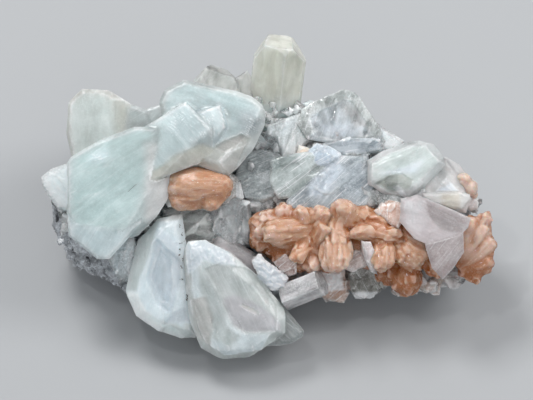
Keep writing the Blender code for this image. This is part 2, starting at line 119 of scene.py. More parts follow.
# How much shorter and thinner a sheaf's outer leaves are, and how unevenly leaves end and lift
OUTER_SHORTER = 0.12
OUTER_THINNER = 0.25
UNEVEN_END = 0.07
UNEVEN_LIFT = 0.05
# How far leaves twist at random and from one side of a sheaf to the other, in degrees
LEAF_TWIST = 14
FAN_TWIST = 10
LUMP_DETAIL = 4

# Multipliers that scatter the numbers of neighbouring cells
HASH_PRIMES = (73856093, 19349663, 83492791, 2654435761)
HASH_MIX = 1274126177
# How much finer and weaker each further layer of noise is
OCTAVE_FINER = 2.1
OCTAVE_WEAKER = 0.55
# Where each kind of noise starts, so that no two are alike
SEED = {
    "swell": 3,
    "pits": 31,
    "fine_ribs": 41,
    "chips": 45,
    "ribs": 47,
    "crags": 51,
    "rock_steps": 57,
    "druse": 61,
    "waver": 71,
    "bend": 73,
    "ridges": 77,
    "facet_spot": 90,
    "facet_lean": 93,
    "facet_level": 96,
    "facet_number": 97,
}

# The waver of pale crystals' markings: its size, and how far it moves each kind
WAVER_SIZE = 4.0
ZONE_WAVER = 0.5
STEP_WAVER = 1.6
PATCH_WAVER = 0.3
RIDGE_WAVER = 0.9
FACET_WAVER = 0.4

# Growth steps inward from a crystal's sides: how far in they go, their spacing, height and steepness
STEP_REACH = 11
STEP_RUN = 2.3
STEP_RISE = 0.06
STEP_STEEPNESS = 8

# How far apart the grain patterns of a group's crystals or sheaves start
PALE_GRAIN_APART = 37.0
PEACH_GRAIN_APART = 41.0

# Patches lie where a surface looks out of the face at least this much. Ridges come and go within these limits
PATCH_FACING = 0.25
RIDGE_PATCHES = 2.2
RIDGE_STRENGTH = (0.1, 1.2)

# The rest of the pale relief, in millimetres. Striae: fineness along each axis of the grain, seed and height
SWELL_SIZE = 9.0
SWELL = 0.12
STRIAE = (((0.09, 1.5, 1.5), 21, 0.03), ((0.2, 3.1, 3.1), 23, 0.015))
PIT_FINENESS = 0.75
PIT_RARITY = 0.72
PIT_DEPTH = 0.5
FROST_FACETS = (1.2, 1.0, 0.9, 0.5)
FROST_RELIEF = 0.7
PALE_SUNK = 0.12

# Painted highlight along ridges: over how many rounds of smoothing a ridge shows, and from which height and
# over which range
EDGE_ROUNDS = 3
EDGE_LEAST = 0.03
EDGE_RANGE = 0.12
FROST_GAIN = 5

# Small plates between the large crystals
FILLER_SIDES = (4, 7)
FILLER_SIZE_POWER = 1.5
FILLER_STRAY = 0.25
FILLER_NARROWEST = 0.5
FILLER_LEAN = 0.55
FILLER_LEVELS = (-1.4, 1.2)
FILLER_THICK = 6.0
FILLER_RIM = (0.5, 0.6)
ABOUT_A_TURN = 6.28

# The sheaves' relief, in millimetres. Ribs: fineness along the sheaf, across it and through it
PEACH_SMOOTHED = 3
FINE_RIBS = (0.08, 1.3, 1.3)
FINE_RIB_HEIGHT = 0.05
RIBS = (0.35, 0.7, 0.7)
RIB_HEIGHT = 0.14
PEACH_SUNK = 0.1
# How wide the ribs' fan is at a sheaf's root, and how much it opens to the tip and a little beyond it
FAN_ROOT = 0.7
FAN_OPENING = 0.3
FAN_END = 1.2
# Chips out of a sheaf's tip, and how steeply and from where they set in
CHIP_FINENESS = 0.85
CHIP_LEVELS = 1.6
CHIP_HEIGHT = 0.16
CHIP_ONSET = (5, 3.6)
# What makes a sheaf paler: the way to its tip, its own tone and its facets
TONE_BY_WAY = 0.4
TONE_BY_SHEAF = 0.6
TONE_BY_FACET = 0.3
BAND_BLUR = 0.5
BAND_FACING = 0.3
BAND_SHARE = 0.7
# Rounds of smoothing by which narrow and wide hollows are found, and how these darken a sheaf as painted
# shade
DIP_ROUNDS = 12
DEEP_ROUNDS = 90
DEEP_BLUR = 3.0
DEEP_GAIN = 1.5

# The rock's relief, in millimetres, which fades out towards its base
CRAG_SIZE = 4.5
CRAG_HEIGHT = 0.8
ROCK_STEP_SIZE = 2.6
ROCK_STEPS = 3
ROCK_STEP_HEIGHT = 0.25
ROCK_SUNK = 0.35
ROCK_FOOT = 1.5
# Rounds of smoothing by which the rock's hollows are found, which the surface paints near black as painted
# shade
ROCK_DIP_ROUNDS = 10

# Small crystals on the bare rock: how many, of how many kinds, where, how large and how they lean
DRUSE_CRYSTALS = 4000
DRUSE_KINDS = 10
DRUSE_COVERED = -0.3
DRUSE_LOWEST = 1.0
DRUSE_PATCHES = 6.0
DRUSE_BARE = -0.15
DRUSE_LEAST = 0.6
DRUSE_RANGE = 1.7
DRUSE_LEAN = 0.45
DRUSE_STRETCH = (1.2, 1.2, 1.3)
DRUSE_SHRINK = 0.7

# The pale surfaces: roughness, cloudiness, depth of light in millimetres, added clearness and graininess
PALE_LOOKS = {
    "milky_blade": (0.11, 0.22, 5.0, 0.08, 0.09),
    "beige_blade": (0.14, 0.25, 4.0, 0.08, 0.04),
    "glassy_plate": (0.07, 0.44, 3.0, 0.14, 0.34),
    "violet_plate": (0.12, 0.22, 3.0, 0.14, 0.12),
}
MINERAL_IOR = 1.5
VEIL_COLOUR = (0.97, 0.99, 1.0)
THREAD_COLOUR = (0.97, 0.98, 1.0)
# The painted highlight on ridges
RIDGE_HIGHLIGHT_COLOUR = (0.94, 0.96, 0.97)
FROST_COLOUR = (0.88, 0.92, 0.96)
GRAIN_COLOUR = (0.93, 0.96, 0.98)
PEACH_ROOT = (0.50, 0.185, 0.06)
PEACH_MIDDLE_TONE = (0.62, 0.365, 0.235)
PEACH_TIP = (0.80, 0.665, 0.59)
PEACH_CLOUD = (0.64, 0.35, 0.21)
PEACH_FIBRE = (0.75, 0.56, 0.45)
# Painted shade on the sheaves' low places and wide hollows
PEACH_LOW_SHADE = (0.42, 0.155, 0.05)
# Painted shade in the sheaves' narrow gaps, and a painted highlight on their ridges
PEACH_GAP_SHADE = (0.53, 0.18, 0.055)
PEACH_RIDGE_HIGHLIGHT = (0.80, 0.65, 0.56)
PEACH_SPECK = (0.86, 0.74, 0.67)
PEACH_GLINT = (1.0, 0.96, 0.93)
ROCK_DARK = (0.30, 0.31, 0.33)
ROCK_PALE = (0.58, 0.61, 0.64)
ROCK_CRUST = (0.80, 0.84, 0.88)
# Painted shade in the rock's hollows
ROCK_HOLLOW_SHADE = (0.04, 0.04, 0.045)
DRUSE_DARK = (0.46, 0.48, 0.50)
DRUSE_PALE = (0.90, 0.93, 0.96)
# The places of a mix node's two colours among its inputs
MIX_COLOURS = (6, 7)

# The stage: lamps by name, place, size and power
FLOOR_SIZE = 6
FLOOR_COLOUR = (0.46, 0.47, 0.48, 1)
SKY_COLOUR = (0.93, 0.96, 1.0, 1)
SKY_STRENGTH = 0.43
LAMPS = (
    ("key", (-0.20, 0.24, 0.60), 0.20, 2.15),
    ("high_right", (0.36, 0.06, 0.50), 0.30, 1.25),
    ("front", (0.10, -0.62, 0.42), 0.50, 0.45),
    ("glints", (-0.16, -0.10, 0.62), 0.03, 0.3),
)

# Base colours of the crystals, as linear red, green and blue
MINT = (0.62, 0.755, 0.745)
ICE = (0.66, 0.765, 0.80)
PEARL = (0.71, 0.76, 0.735)
BEIGE = (0.79, 0.79, 0.68)
CLEAR_GREY = (0.60, 0.66, 0.67)
FROST = (0.80, 0.86, 0.92)
BLUSH = (0.72, 0.69, 0.655)
VIOLET = (0.80, 0.705, 0.715)
AMBER = (0.60, 0.47, 0.36)


def on_face(across, up, out):
    """A place on the crystal face as a point of the model, in millimetres."""
    return FACE_CENTRE + RIGHT * across + UP_FACE * up + OUT * out


def face_places(points):
    """How far across and up the face each point is, in millimetres."""
    offset = points - np.array(FACE_CENTRE)
    return np.stack([offset @ np.array(axis) for axis in (RIGHT, UP_FACE)], axis=1)


def face_levels(points):
    """How far out of the face each point is, in millimetres."""
    return (points - np.array(FACE_CENTRE)) @ np.array(OUT)


def eased(share):
    """A share from 0 to 1 that starts and ends softly."""
    return share * share * (3 - 2 * share)


class Crystal:
    """A convex crystal: its faces, the directions of its growth lines and how it looks."""

    def __init__(self, planes, axes, zones, steps=NO_LAYERS):
        self.planes = planes
        self.middle, self.along, self.across, self.out = axes
        self.zones = zones
        self.steps = steps

    def layers(self):
        """The plane lists of the crystal and of the growth layers that stand on it."""
        count, run, rise, _ = self.steps
        for layer in range(count + 1):
            planes = []
            for point, normal, kind, stepped in self.planes:
                shift = Vector()
                if kind == "front":
                    shift = normal * rise * layer
                elif kind in ("side", "bevel"):
                    shift = self.out * rise * layer - stepped * run * layer
                planes.append((point + shift, normal))
            yield planes

    def heights(self, points):
        """How far each point is outside each of the crystal's faces."""
        spots = np.array([tuple(point) for point, *_ in self.planes])
        normals = np.array([tuple(normal) for _, normal, *_ in self.planes])
        return points @ normals.T - np.einsum("ij,ij->i", spots, normals)

    def distance(self, points):
        """How far each point is outside the crystal, or inside it if negative."""
        return self.heights(points).max(axis=1)

    def look(self, points, waver):
        """Each point's colour, its clearness and how far in it is from the crystal's sides."""
        heights = self.heights(points)
        kinds = np.array([plane[2] for plane in self.planes])
        inset = -heights[:, kinds == "side"].max(axis=1) + waver
        colour = np.tile(np.array(self.zones[0][1], float), (len(points), 1))
        clear = np.full(len(points), float(self.zones[0][2]))
        for start, tint, clearness in self.zones[1:]:
            share = np.clip((inset - start) / ZONE_BLUR + 0.5, 0, 1)
            colour += (np.array(tint) - colour) * share[:, None]
            clear += (clearness - clear) * share
        slanted = heights[:, kinds == "bevel"].max(axis=1) - heights[:, kinds != "bevel"].max(axis=1)
        share = np.clip(slanted / ZONE_BLUR + 0.5, 0, 1)
        colour += (np.array(self.zones[0][1]) - colour) * share[:, None]
        clear += (self.zones[0][2] - clear) * share
        return colour, clear, inset


class Patch:
    """An area of one crystal's face with its own height, colour, clearness, ridges or frost."""

    def __init__(self, crystal, outline, height=0.0, wall=0.6, tint=None, clear=None, ridges=None, frost=0.0):
        self.crystal, self.outline, self.height, self.wall = crystal, outline, height, wall
        self.tint, self.clear, self.ridges, self.frost = tint, clear, ridges, frost

    def share(self, spots):
        """1 inside the area and 0 outside it, with a smooth wall between."""
        return eased(np.clip(inside_distance(self.outline, spots) / self.wall + 0.5, 0, 1))

    def ridge_height(self, spots, waver):
        """Narrow steps that climb in one direction."""
        angle, spacing, height = self.ridges
        climb = spots @ np.array([math.cos(math.radians(angle)), math.sin(math.radians(angle))])
        phase = (climb + waver) / spacing % 1
        return height * np.where(phase < RIDGE_CLIMB, phase / RIDGE_CLIMB, (1 - phase) / RIDGE_FALL)


def inside_distance(outline, spots):
    """How far each place is inside an outline, or outside it if negative."""
    corners = np.array(outline, float)
    nearest = np.full(len(spots), np.inf)
    inside = np.zeros(len(spots), bool)
    for first, second in zip(corners, np.roll(corners, -1, axis=0)):
        edge = second - first
        share = np.clip((spots - first) @ edge / (edge @ edge), 0, 1)
        nearest = np.minimum(nearest, np.hypot(*(spots - first - share[:, None] * edge).T))
        if edge[1]:
            crossed = (first[1] > spots[:, 1]) != (second[1] > spots[:, 1])
            where = first[0] + (spots[:, 1] - first[1]) * edge[0] / edge[1]
            inside ^= crossed & (spots[:, 0] < where)
    return np.where(inside, nearest, -nearest)


def zones_of(tint, rim_tint, clear, rim_width):
    """A crystal's growth zones, inward from its sides: where each starts, its colour and its clearness."""
    return ((0.0, rim_tint or tint, clear + RIM_CLEARNESS), (rim_width, tint, clear))


def plate(outline, out, lean=(0.0, 0.0), thick=8.0, rim=(2.0, 2.0), wide=None, tint=MINT, rim_tint=None,
          clear=0.14, grain=0.0, steps=NO_LAYERS, zones=None, spread=0.2):
    """A tabular blade, as in the part's source, with its colours, its grain's angle and its growth layers."""
    count = len(outline)
    stepped_edges = steps[3]
    area = sum(a[0] * b[1] - b[0] * a[1] for a, b in zip(outline, outline[1:] + outline[:1]))
    if area < 0:
        outline = outline[::-1]
        wide = {(count - 2 - edge) % count: size for edge, size in (wide or {}).items()}
        stepped_edges = [(count - 2 - edge) % count for edge in stepped_edges]
    centre = tuple(sum(corner[i] for corner in outline) / count for i in range(2))
    corners = [
        on_face(a, b, out + lean[0] * (a - centre[0]) + lean[1] * (b - centre[1]))
        for a, b in outline
    ]
    middle = on_face(*centre, out)
    normal = (OUT - RIGHT * lean[0] - UP_FACE * lean[1]).normalized()
    still = Vector()
    planes = [(middle, normal, "front", still), (middle - normal * thick, -normal, "back", still)]
    for edge, (first, second) in enumerate(zip(corners, corners[1:] + corners[:1])):
        side = (second - first).cross(normal).normalized()
        width, depth = (wide or {}).get(edge, rim)
        stepped = side if edge in stepped_edges else still
        first = first + side * spread
        tapered = side * math.cos(SIDE_TAPER) - normal * math.sin(SIDE_TAPER)
        planes.append((first, tapered, "side", stepped))
        planes.append((first - side * width, (side * depth + normal * width).normalized(), "bevel", stepped))
    turn = math.radians(grain)
    across = (RIGHT - normal * RIGHT.dot(normal)).normalized()
    up = normal.cross(across)
    along = across * math.cos(turn) + up * math.sin(turn)
    axes = (middle, along, normal.cross(along), normal)
    zones = zones or zones_of(tint, rim_tint, clear, rim[0])
    return Crystal(planes, axes, zones, (*steps[:3], stepped_edges))


def prism(root, tip, sides, caps, tint=BEIGE, clear=0.25):
    """A long crystal: side faces by angle and distance, end faces by angle, tilt and distance."""
    root, tip = on_face(*root), on_face(*tip)
    axis = (tip - root).normalized()
    front = (OUT - axis * OUT.dot(axis)).normalized()
    right = axis.cross(front)
    still = Vector()

    def around(angle):
        return front * math.cos(math.radians(angle)) + right * math.sin(math.radians(angle))

    planes = [(root, -axis, "back", still)]
    planes += [(root + around(angle) * distance, around(angle), "side", still) for angle, distance in sides]
    for angle, tilt, distance in caps:
        lean = math.radians(tilt)
        normal = axis * math.cos(lean) + around(angle) * math.sin(lean)
        planes.append((tip + normal * distance, normal, "bevel", still))
    axes = ((root + tip) / 2, axis, right, front)
    return Crystal(planes, axes, zones_of(tint, None, clear, PRISM_RIM))


def tablet(root, tip, width, depth, turn=0, tint=MINT):
    """A flattened crystal with a chisel end, its broad face turned about its axis."""
    sides = [(turn, depth / 2), (turn + 180, depth / 2), (turn + 90, width / 2), (turn - 90, width / 2)]
    sides += [(turn + bevel, width * TABLET_BEVEL_REACH) for bevel in TABLET_BEVELS]
    caps = [(0, 0, 0)]
    caps += [(turn + angle, tilt, width * by_width + depth * by_depth)
             for angle, tilt, by_width, by_depth in TABLET_ENDS]
    return prism(root, tip, sides, caps, tint)


class Sheaf:
    """A stilbite sheaf: flat leaves that fan out from its root to its domed end."""

    def __init__(self, root, tip, width, depth, turn=0.0, *, leaves, pale):
        self.root, self.tip = on_face(*root), on_face(*tip)
        self.width, self.depth, self.leaves, self.pale = width, depth, leaves, pale
        self.length = (self.tip - self.root).length
        self.axis = (self.tip - self.root).normalized()
        front = (OUT - self.axis * OUT.dot(self.axis)).normalized()
        side = self.axis.cross(front)
        angle = math.radians(turn)
        self.broad = side * math.cos(angle) + front * math.sin(angle)
        self.thin = front * math.cos(angle) - side * math.sin(angle)

    def meshes(self, random):
        """One lofted leaf after another, from one side of the fan to the other."""
        leaf_width = self.width * LEAF_WIDTH
        for number in range(self.leaves):
            place = number / (self.leaves - 1) * 2 - 1
            spread = self.width / 2 - leaf_width / 2
            start = self.root + self.broad * (place * spread * ROOT_SPREAD)
            short = (OUTER_SHORTER * place * place + random.uniform(0.0, UNEVEN_END)) * self.length
            lift = self.thin * random.uniform(-UNEVEN_LIFT, UNEVEN_LIFT) * self.depth
            end = self.tip + self.broad * (place * spread) - self.axis * short + lift
            thick = self.depth * (1 - OUTER_THINNER * place * place) * random.uniform(0.9, 1.0)
            twist = math.radians(random.uniform(-LEAF_TWIST, LEAF_TWIST) - FAN_TWIST * place)
            yield self.leaf(start, end, leaf_width * random.uniform(0.9, 1.1), thick, twist)

    def leaf(self, start, end, width, depth, twist):
        """A flattened loft from start to end with blunt sides."""
        broad = self.broad * math.cos(twist) + self.thin * math.sin(twist)
        thin = self.thin * math.cos(twist) - self.broad * math.sin(twist)
        bm = bmesh.new()
        rings = []
        for share, wide, deep in LEAF_PROFILE:
            ring = []
            for step in range(LEAF_SIDES):
                turned = 2 * math.pi * step / LEAF_SIDES
                across = math.copysign(abs(math.cos(turned)) ** LEAF_BLUNTNESS[0], math.cos(turned))
                outward = math.copysign(abs(math.sin(turned)) ** LEAF_BLUNTNESS[1], math.sin(turned))
                place = start.lerp(end, share)
                place += broad * (width * wide / 2 * across) + thin * (depth * deep / 2 * outward)
                ring.append(bm.verts.new(place))
            rings.append(ring)
        for low, high in zip(rings, rings[1:]):
            for here in range(LEAF_SIDES):
                there = (here + 1) % LEAF_SIDES
                bm.faces.new((low[here], low[there], high[there], high[here]))
        bm.faces.new(rings[0])
        bm.faces.new(rings[-1])
        bmesh.ops.recalc_face_normals(bm, faces=bm.faces)
        return bm

    def local(self, points):
        """Each point's share of the way to the tip, its place across the fan and its depth."""
        offset = points - np.array(self.root)
        share = offset @ np.array(self.axis) / self.length
        return share, offset @ np.array(self.broad), offset @ np.array(self.thin)

    def distance(self, points):
        """A rough measure of how far each point is from the sheaf."""
        share, across, deep = self.local(points)
        reach = 0.5 + 0.5 * np.clip(share, 0, 1)
        end = np.maximum(np.abs(share - 0.5) - 0.5, 0) * self.length / self.depth
        sideways = across / (self.width * reach / 2)
        through = deep / (self.depth * reach / 2)
        return np.sqrt(sideways ** 2 + through ** 2) + end


class Lump:
    """A rounded mass between sheaves."""

    def __init__(self, centre, radii):
        self.centre, self.radii = on_face(*centre), radii

    def mesh(self):
        """A ball stretched to the lump's radii across, up and out of the face."""
        bm = bmesh.new()
        bmesh.ops.create_icosphere(bm, subdivisions=LUMP_DETAIL, radius=1)
        for vert in bm.verts:
            across, up, out = (vert.co[i] * self.radii[i] for i in range(3))
            vert.co = self.centre + RIGHT * across + UP_FACE * up + OUT * out
        return bm


LEFT_BLADES = (
    plate([(-61.6, 20), (-61, 29.3), (-56.6, 33.6), (-48.5, 33.2), (-41.5, 29), (-39.5, 14), (-45, 8),
           (-60, 12)], -4, (-0.05, 0.1), 14, (1.4, 1.6), {3: (2.2, 1.6), 4: (6.0, 1.8)}, tint=PEARL,
          rim_tint=(0.74, 0.74, 0.67), grain=88),
    plate([(-46.5, 30.4), (-41.5, 28.9), (-37.0, 27.2), (-33, 16), (-46, 14)], -5.2, (0.03, 0), 10,
          (1.2, 1.0), tint=(0.45, 0.49, 0.475), clear=0.35, grain=30),
    plate([(-69.5, 6.8), (-66.6, 9.4), (-61, 11.4), (-52, 12), (-50, -4), (-64.5, -3.5), (-69, 3.5)], -2,
          (0.2, 0.1), 13, (1.6, 2.2), tint=(0.80, 0.89, 0.93), clear=0.1, grain=-50),
    plate([(-61, 11), (-59.7, 13), (-51, 18), (-40.5, 22), (-31, 22), (-28.5, 15), (-30, 0), (-33, -5),
           (-39.5, -11.5), (-48, -13), (-57, -11.5), (-61, -4)], 7, (0.05, 0.08), 18, (1.2, 1.4),
          {0: (1.0, 1.2), 1: (1.0, 1.2), 5: (7, 3.0), 6: (7, 3.6), 7: (5, 3)}, tint=MINT,
          rim_tint=(0.66, 0.77, 0.76), grain=35),
    plate([(-61.2, 4), (-60.4, -11), (-55, -15.5), (-52, -17.9), (-48, -17.9), (-44, -13.5), (-38.5, -7),
           (-38, 4)], 5.8, (0.02, 0.08), 17, (1.2, 1.2), {7: (13, 3.2)}, tint=(0.55, 0.675, 0.695),
          rim_tint=(0.60, 0.71, 0.72), grain=60),
    plate([(-42, 17), (-37, 22.6), (-25.3, 29.5), (-17.5, 21.5), (-16.5, 15), (-21, 10.5), (-36, 5)], 8.3,
          (0.09, 0.02), 9, (1.0, 1.0), {4: (6, 3)}, tint=(0.66, 0.775, 0.78), rim_tint=(0.69, 0.78, 0.78),
          grain=-50, steps=(4, 0.85, 0.12, (1, 2))),
    plate([(-22, 26.3), (-14.8, 28.6), (-13.0, 21.6), (-16.8, 17), (-23, 20)], 7.2, (0.05, 0.03), 8,
          (0.8, 1.0), tint=ICE, grain=-55, steps=(3, 0.7, 0.16, (1, 2))),
    plate([(-33.6, 29.5), (-31.8, 33.4), (-25.8, 36.3), (-18.3, 35), (-10, 33), (-5.2, 31.3), (-2, 28.8),
           (-0.6, 25.7), (-0.8, 22), (-4, 15.5), (-9, 9.6), (-12.3, 6.8), (-19.5, 9.5), (-30, 14)], 5,
          (-0.05, -0.1), 17, (1.6, 1.8), {8: (4.5, 4), 9: (5, 4), 10: (5, 4), 11: (3, 3)},
          tint=(0.59, 0.70, 0.705), rim_tint=(0.63, 0.69, 0.67), grain=-20,
          steps=(2, 1.1, 0.15, (0, 1, 7, 8))),
    plate([(-38.6, 27.2), (-32.5, 29.2), (-28.6, 26.4), (-31, 17), (-38, 18)], -5.6, (0.03, 0.05), 9,
          (1.0, 1.0), tint=(0.48, 0.52, 0.505), clear=0.35, grain=50),
)
FRONT_LEFT_BLADE = (
    plate([(-33.8, -5.4), (-39.8, -12), (-42, -20), (-43.8, -27.3), (-40.4, -35.2), (-33.8, -39.6),
           (-26.5, -42.0), (-20.8, -41.8), (-21.6, -33), (-23.2, -22.5), (-23.9, -12), (-26, -4)], 1.5,
          (-0.06, 0.06), 13, (3.4, 2.0), {0: (4, 3), 1: (4.6, 3), 2: (4.2, 3), 8: (1, 1), 9: (1, 1)},
          tint=ICE, rim_tint=(0.68, 0.77, 0.76), grain=80),
)
FRONT_RIGHT_BLADES = (
    plate([(-26.6, -16), (-24.9, -12.2), (-19.5, -11.6), (-11.5, -15.6), (-2, -23.6), (4.6, -33),
           (4.6, -40.5), (-2.4, -45), (-6, -47.6), (-14.5, -48.4), (-21.0, -44.6), (-24.4, -37),
           (-25.6, -26)], 3.2, (0.05, 0.02), 11.5, (2.6, 2.0), {3: (4, 3), 4: (4, 3), 8: (3.6, 3),
                                                                12: (1, 1), 11: (1.6, 1.2)},
          tint=(0.66, 0.725, 0.72), rim_tint=(0.57, 0.62, 0.60), grain=115,
          steps=(2, 1.2, 0.2, (4, 5, 6, 10, 11, 12))),
    plate([(-5, -26), (2, -28.5), (4, -31), (10.9, -37.5), (10.2, -41.2), (6.3, -43.4), (-0.8, -44),
           (-6, -39)], 1.6, (-0.1, 0.05), 10, (1.6, 1.2), tint=(0.22, 0.24, 0.235), clear=0.02, grain=-40),
    plate([(-19, -12.6), (-15.5, -10.5), (-9, -13.3), (-2, -17.4), (-1, -23), (-9, -24)], -1.5, (0.1, 0.15),
          11, (1.4, 1.4), tint=VIOLET, clear=0.45, grain=-30),
    plate([(-5.6, -18.6), (-3.3, -16.0), (0.3, -18.8), (5.9, -23.1), (5.0, -26), (1.5, -27.6),
           (-2.8, -23.4)], 3, (-0.15, 0.1), 14, (1.0, 1.0), tint=(0.76, 0.82, 0.88), clear=0.1, grain=-45),
)
TALL_CRYSTAL = (
    prism((0.4, 17, -17), (3.8, 47.6, -4), [(-90, 8.3), (90, 7.8), (-18, 5.0), (35, 5.4), (180, 5.5),
                                            (-140, 6.6), (140, 6.6), (66, 7.0)], [(0, 6, 0), (-90, 58, 4.1),
                                                                                  (90, 49, 2.2),
                                                                                  (0, 58, 3.6),
                                                                                  (180, 45, 3.4)],
          tint=BEIGE, clear=0.1),
)
BACK_TIPS = (
    plate([(-25.4, 34), (-20, 40.2), (-18, 42), (-12.6, 40.2), (-9.4, 36), (-8, 24), (-23, 22)], -5.5,
          (0.05, -0.2), 10, (1.2, 1.6), {2: (3, 3)}, tint=(0.50, 0.51, 0.475), clear=0.3, grain=60),
    plate([(-10.5, 37.2), (-6.8, 39.6), (-4.5, 35), (-4.5, 23), (-11, 23)], -8, (0, -0.1), 8, (0.8, 1),
          tint=(0.62, 0.63, 0.58), clear=0.35, grain=80),
)
WINDOW_PLATE = (
    plate([(8, 23), (9.6, 27.6), (13.2, 29.8), (22.2, 33.6), (26.1, 32.5), (34.0, 20.6), (33, 16),
           (20, 16.5), (11, 18)], -2.5, (-0.02, -0.12), 12, (3.0, 0.8), {2: (3.0, 0.6), 4: (3.0, 0.8),
                                                                         6: (1, 1), 7: (1, 1)}, grain=70,
          zones=((0, (0.38, 0.415, 0.395), 0.25), (3.0, (0.76, 0.79, 0.81), 0.05),
                 (3.6, (0.60, 0.65, 0.69), 0.4))),
    plate([(29, 24), (32.2, 23.2), (40.8, 17.8), (38, 13), (28, 13.5)], -4.5, (0.05, 0), 10, (1, 1),
          tint=FROST, clear=0.25, grain=-30),
    plate([(0.2, 22), (8.5, 25), (13.6, 21), (5.5, 12.6), (1.4, 12.6), (-1.5, 16)], -3.2, (-0.1, -0.1), 10,
          (0.9, 0.8), tint=(0.60, 0.66, 0.66), clear=0.35, grain=75, spread=1.3),
)
CENTRE_PLATES = (
    plate([(-9.5, 9.4), (-6, 14.2), (-2.4, 15), (2.4, 12.6), (3.6, 3.4), (-2.4, 0.4), (-7.2, 1.5),
           (-10.5, 5)], -2.6, (0.12, -0.05), 9, (1.0, 0.8), tint=(0.30, 0.35, 0.355), clear=0.18, grain=20,
          spread=1.3),
    plate([(1, 11.5), (3.5, 12.6), (10.5, 13.4), (20.4, 12.8), (14.4, 6), (8, 1.6), (3, 1), (0.5, 6)], 0.6,
          (-0.08, 0.12), 12, (0.7, 0.7), tint=(0.41, 0.48, 0.465), clear=0.14, grain=35, spread=0.9),
    plate([(5.5, -3.8), (12.6, -4.5), (27.4, -3.6), (31.4, 6), (28.6, 12.8), (20.4, 12.8), (6, -1)], 0.8,
          (0.05, -0.06), 12, (1.0, 0.8), tint=(0.26, 0.315, 0.35), clear=0.22, grain=42, spread=1.2),
    plate([(11.4, 14.8), (13.8, 17.2), (17.4, 16.4), (21.4, 14.2), (21.8, 11.6), (18.6, 9.0), (13.6, 8.4),
           (11.2, 11)], 0.9, (0.05, 0.1), 8, (2.4, 1.6), tint=(0.55, 0.66, 0.75), clear=0.05, grain=30),
    plate([(8.5, 16.8), (13.2, 15), (12.5, 11.5), (8, 12)], -1.6, (-0.1, 0.1), 8, (0.8, 0.8),
          tint=(0.80, 0.64, 0.48), clear=0.05, grain=30),
)
RIGHT_PLATES = (
    plate([(28.5, 12.4), (33.3, 15), (40.6, 17.8), (44.5, 18.4), (49.3, 17.2), (52.3, 13.6), (52.8, 10.6),
           (43.0, 0.5), (33, 2), (29, 5)], 3.4, (0.03, -0.12), 16, (2.0, 2.0), {4: (3, 3), 6: (2.4, 1.8),
                                                                                7: (4, 3)},
          tint=(0.68, 0.75, 0.725), rim_tint=(0.72, 0.75, 0.74), grain=30,
          steps=(2, 0.9, 0.16, (0, 1, 7, 8))),
    plate([(44, 11), (52.8, 13.4), (57.6, 11.2), (60.2, 7.6), (61.4, 2), (59, -4), (52.5, -4), (44, 0)],
          0.8, (-0.06, -0.08), 13, (1.8, 2.0), {2: (4, 3), 3: (3, 3)}, tint=(0.80, 0.775, 0.76), clear=0.15,
          grain=-40),
    plate([(45.6, 2.0), (56.6, 2.2), (60, 1.7), (60.5, 0.3), (57.3, -3.4), (52.7, -2.2), (46.7, -1.2)], 2.4,
          (-0.05, 0.1), 7, (0.8, 0.8), tint=(0.84, 0.85, 0.81), clear=0.1, grain=0),
)
VIOLET_PLATES = (
    plate([(38.6, -6.6), (39, 0.4), (43.8, 1.9), (47.4, 0.3), (60.2, -5.2), (59.2, -8.4), (56.4, -11.2),
           (48, -13.8), (43, -11.6)], 8, (0.03, 0.03), 6.5, (1.6, 0.5), tint=VIOLET, grain=-25,
          zones=((0, VIOLET, 0.25), )),
    plate([(44, -5), (57.6, -7), (58, -15.6), (55, -20.2), (51.6, -23.8), (48.2, -20.4), (46.6, -14.5)],
          7.6, (0.03, 0.03), 7.5, (1.6, 0.5), grain=50, zones=((0, (0.41, 0.335, 0.33), 0.2), )),
)
PLATES_UNDER_BUD = (
    plate([(-34.5, 3), (-32.5, 8.6), (-26, 12.4), (-15, 12.0), (-9.6, 6.5), (-10, 0.5), (-16, -3),
           (-30, -2.4)], 2.6, (-0.02, 0.05), 9, (1.4, 1.2), tint=(0.72, 0.705, 0.645), clear=0.15,
          grain=38),
    plate([(-16.4, 3), (-9.5, 5), (-8.4, -4.5), (-10.2, -13), (-14.5, -13), (-18, -4)], -1.8, (0.1, 0), 9,
          (0.9, 0.8), tint=(0.74, 0.78, 0.79), clear=0.4, grain=75, spread=1.0),
    plate([(-31, -3.5), (-21, -1), (-16.6, -4), (-15.5, -14), (-24, -15), (-28.5, -10)], -2.6, (-0.05, 0.1),
          8, (1.0, 0.8), tint=(0.72, 0.75, 0.70), clear=0.4, grain=20, spread=1.5),
)
SMALL_PRISM = (
    prism((3.8, -29.2, -1), (15.2, -24.6, 2), [(-22, 3.4), (52, 3.7), (-90, 3.9), (95, 4.2), (180, 4),
                                               (-140, 4.2), (140, 4.2)], [(0, 8, 0.2), (50, 35, 2.2),
                                                                          (-60, 40, 2.6)],
          tint=(0.74, 0.715, 0.72), clear=0.2),
)
GLASSY_FOOT = (
    plate([(23.4, -19), (31, -18.5), (36, -26), (30, -30), (25.2, -30.4), (23.2, -25.5)], -5.4, (0.1, 0.1),
          10, (1.2, 1.6), tint=(0.14, 0.125, 0.075), clear=0.2, grain=-60),
    plate([(20, -21), (27, -21), (26, -27.5), (21, -27)], -9, (0, 0), 8, (1.0, 1.0), tint=AMBER, grain=20),
    plate([(14, -21), (22.5, -20.5), (24.4, -27), (22.5, -31.4), (16.4, -31), (13.4, -27)], -5,
          (-0.05, 0.3), 9, (1.2, 1.4), tint=(0.62, 0.38, 0.27), clear=0.1, grain=40),
)
RIGHT_FOOT = (
    plate([(44.5, -20), (52, -19.5), (61, -22), (58.4, -25.6), (51, -26.6), (45.4, -26)], -7, (0, 0.15), 9,
          (1, 1.4), tint=(0.72, 0.66, 0.64), clear=0.4, grain=10),
)
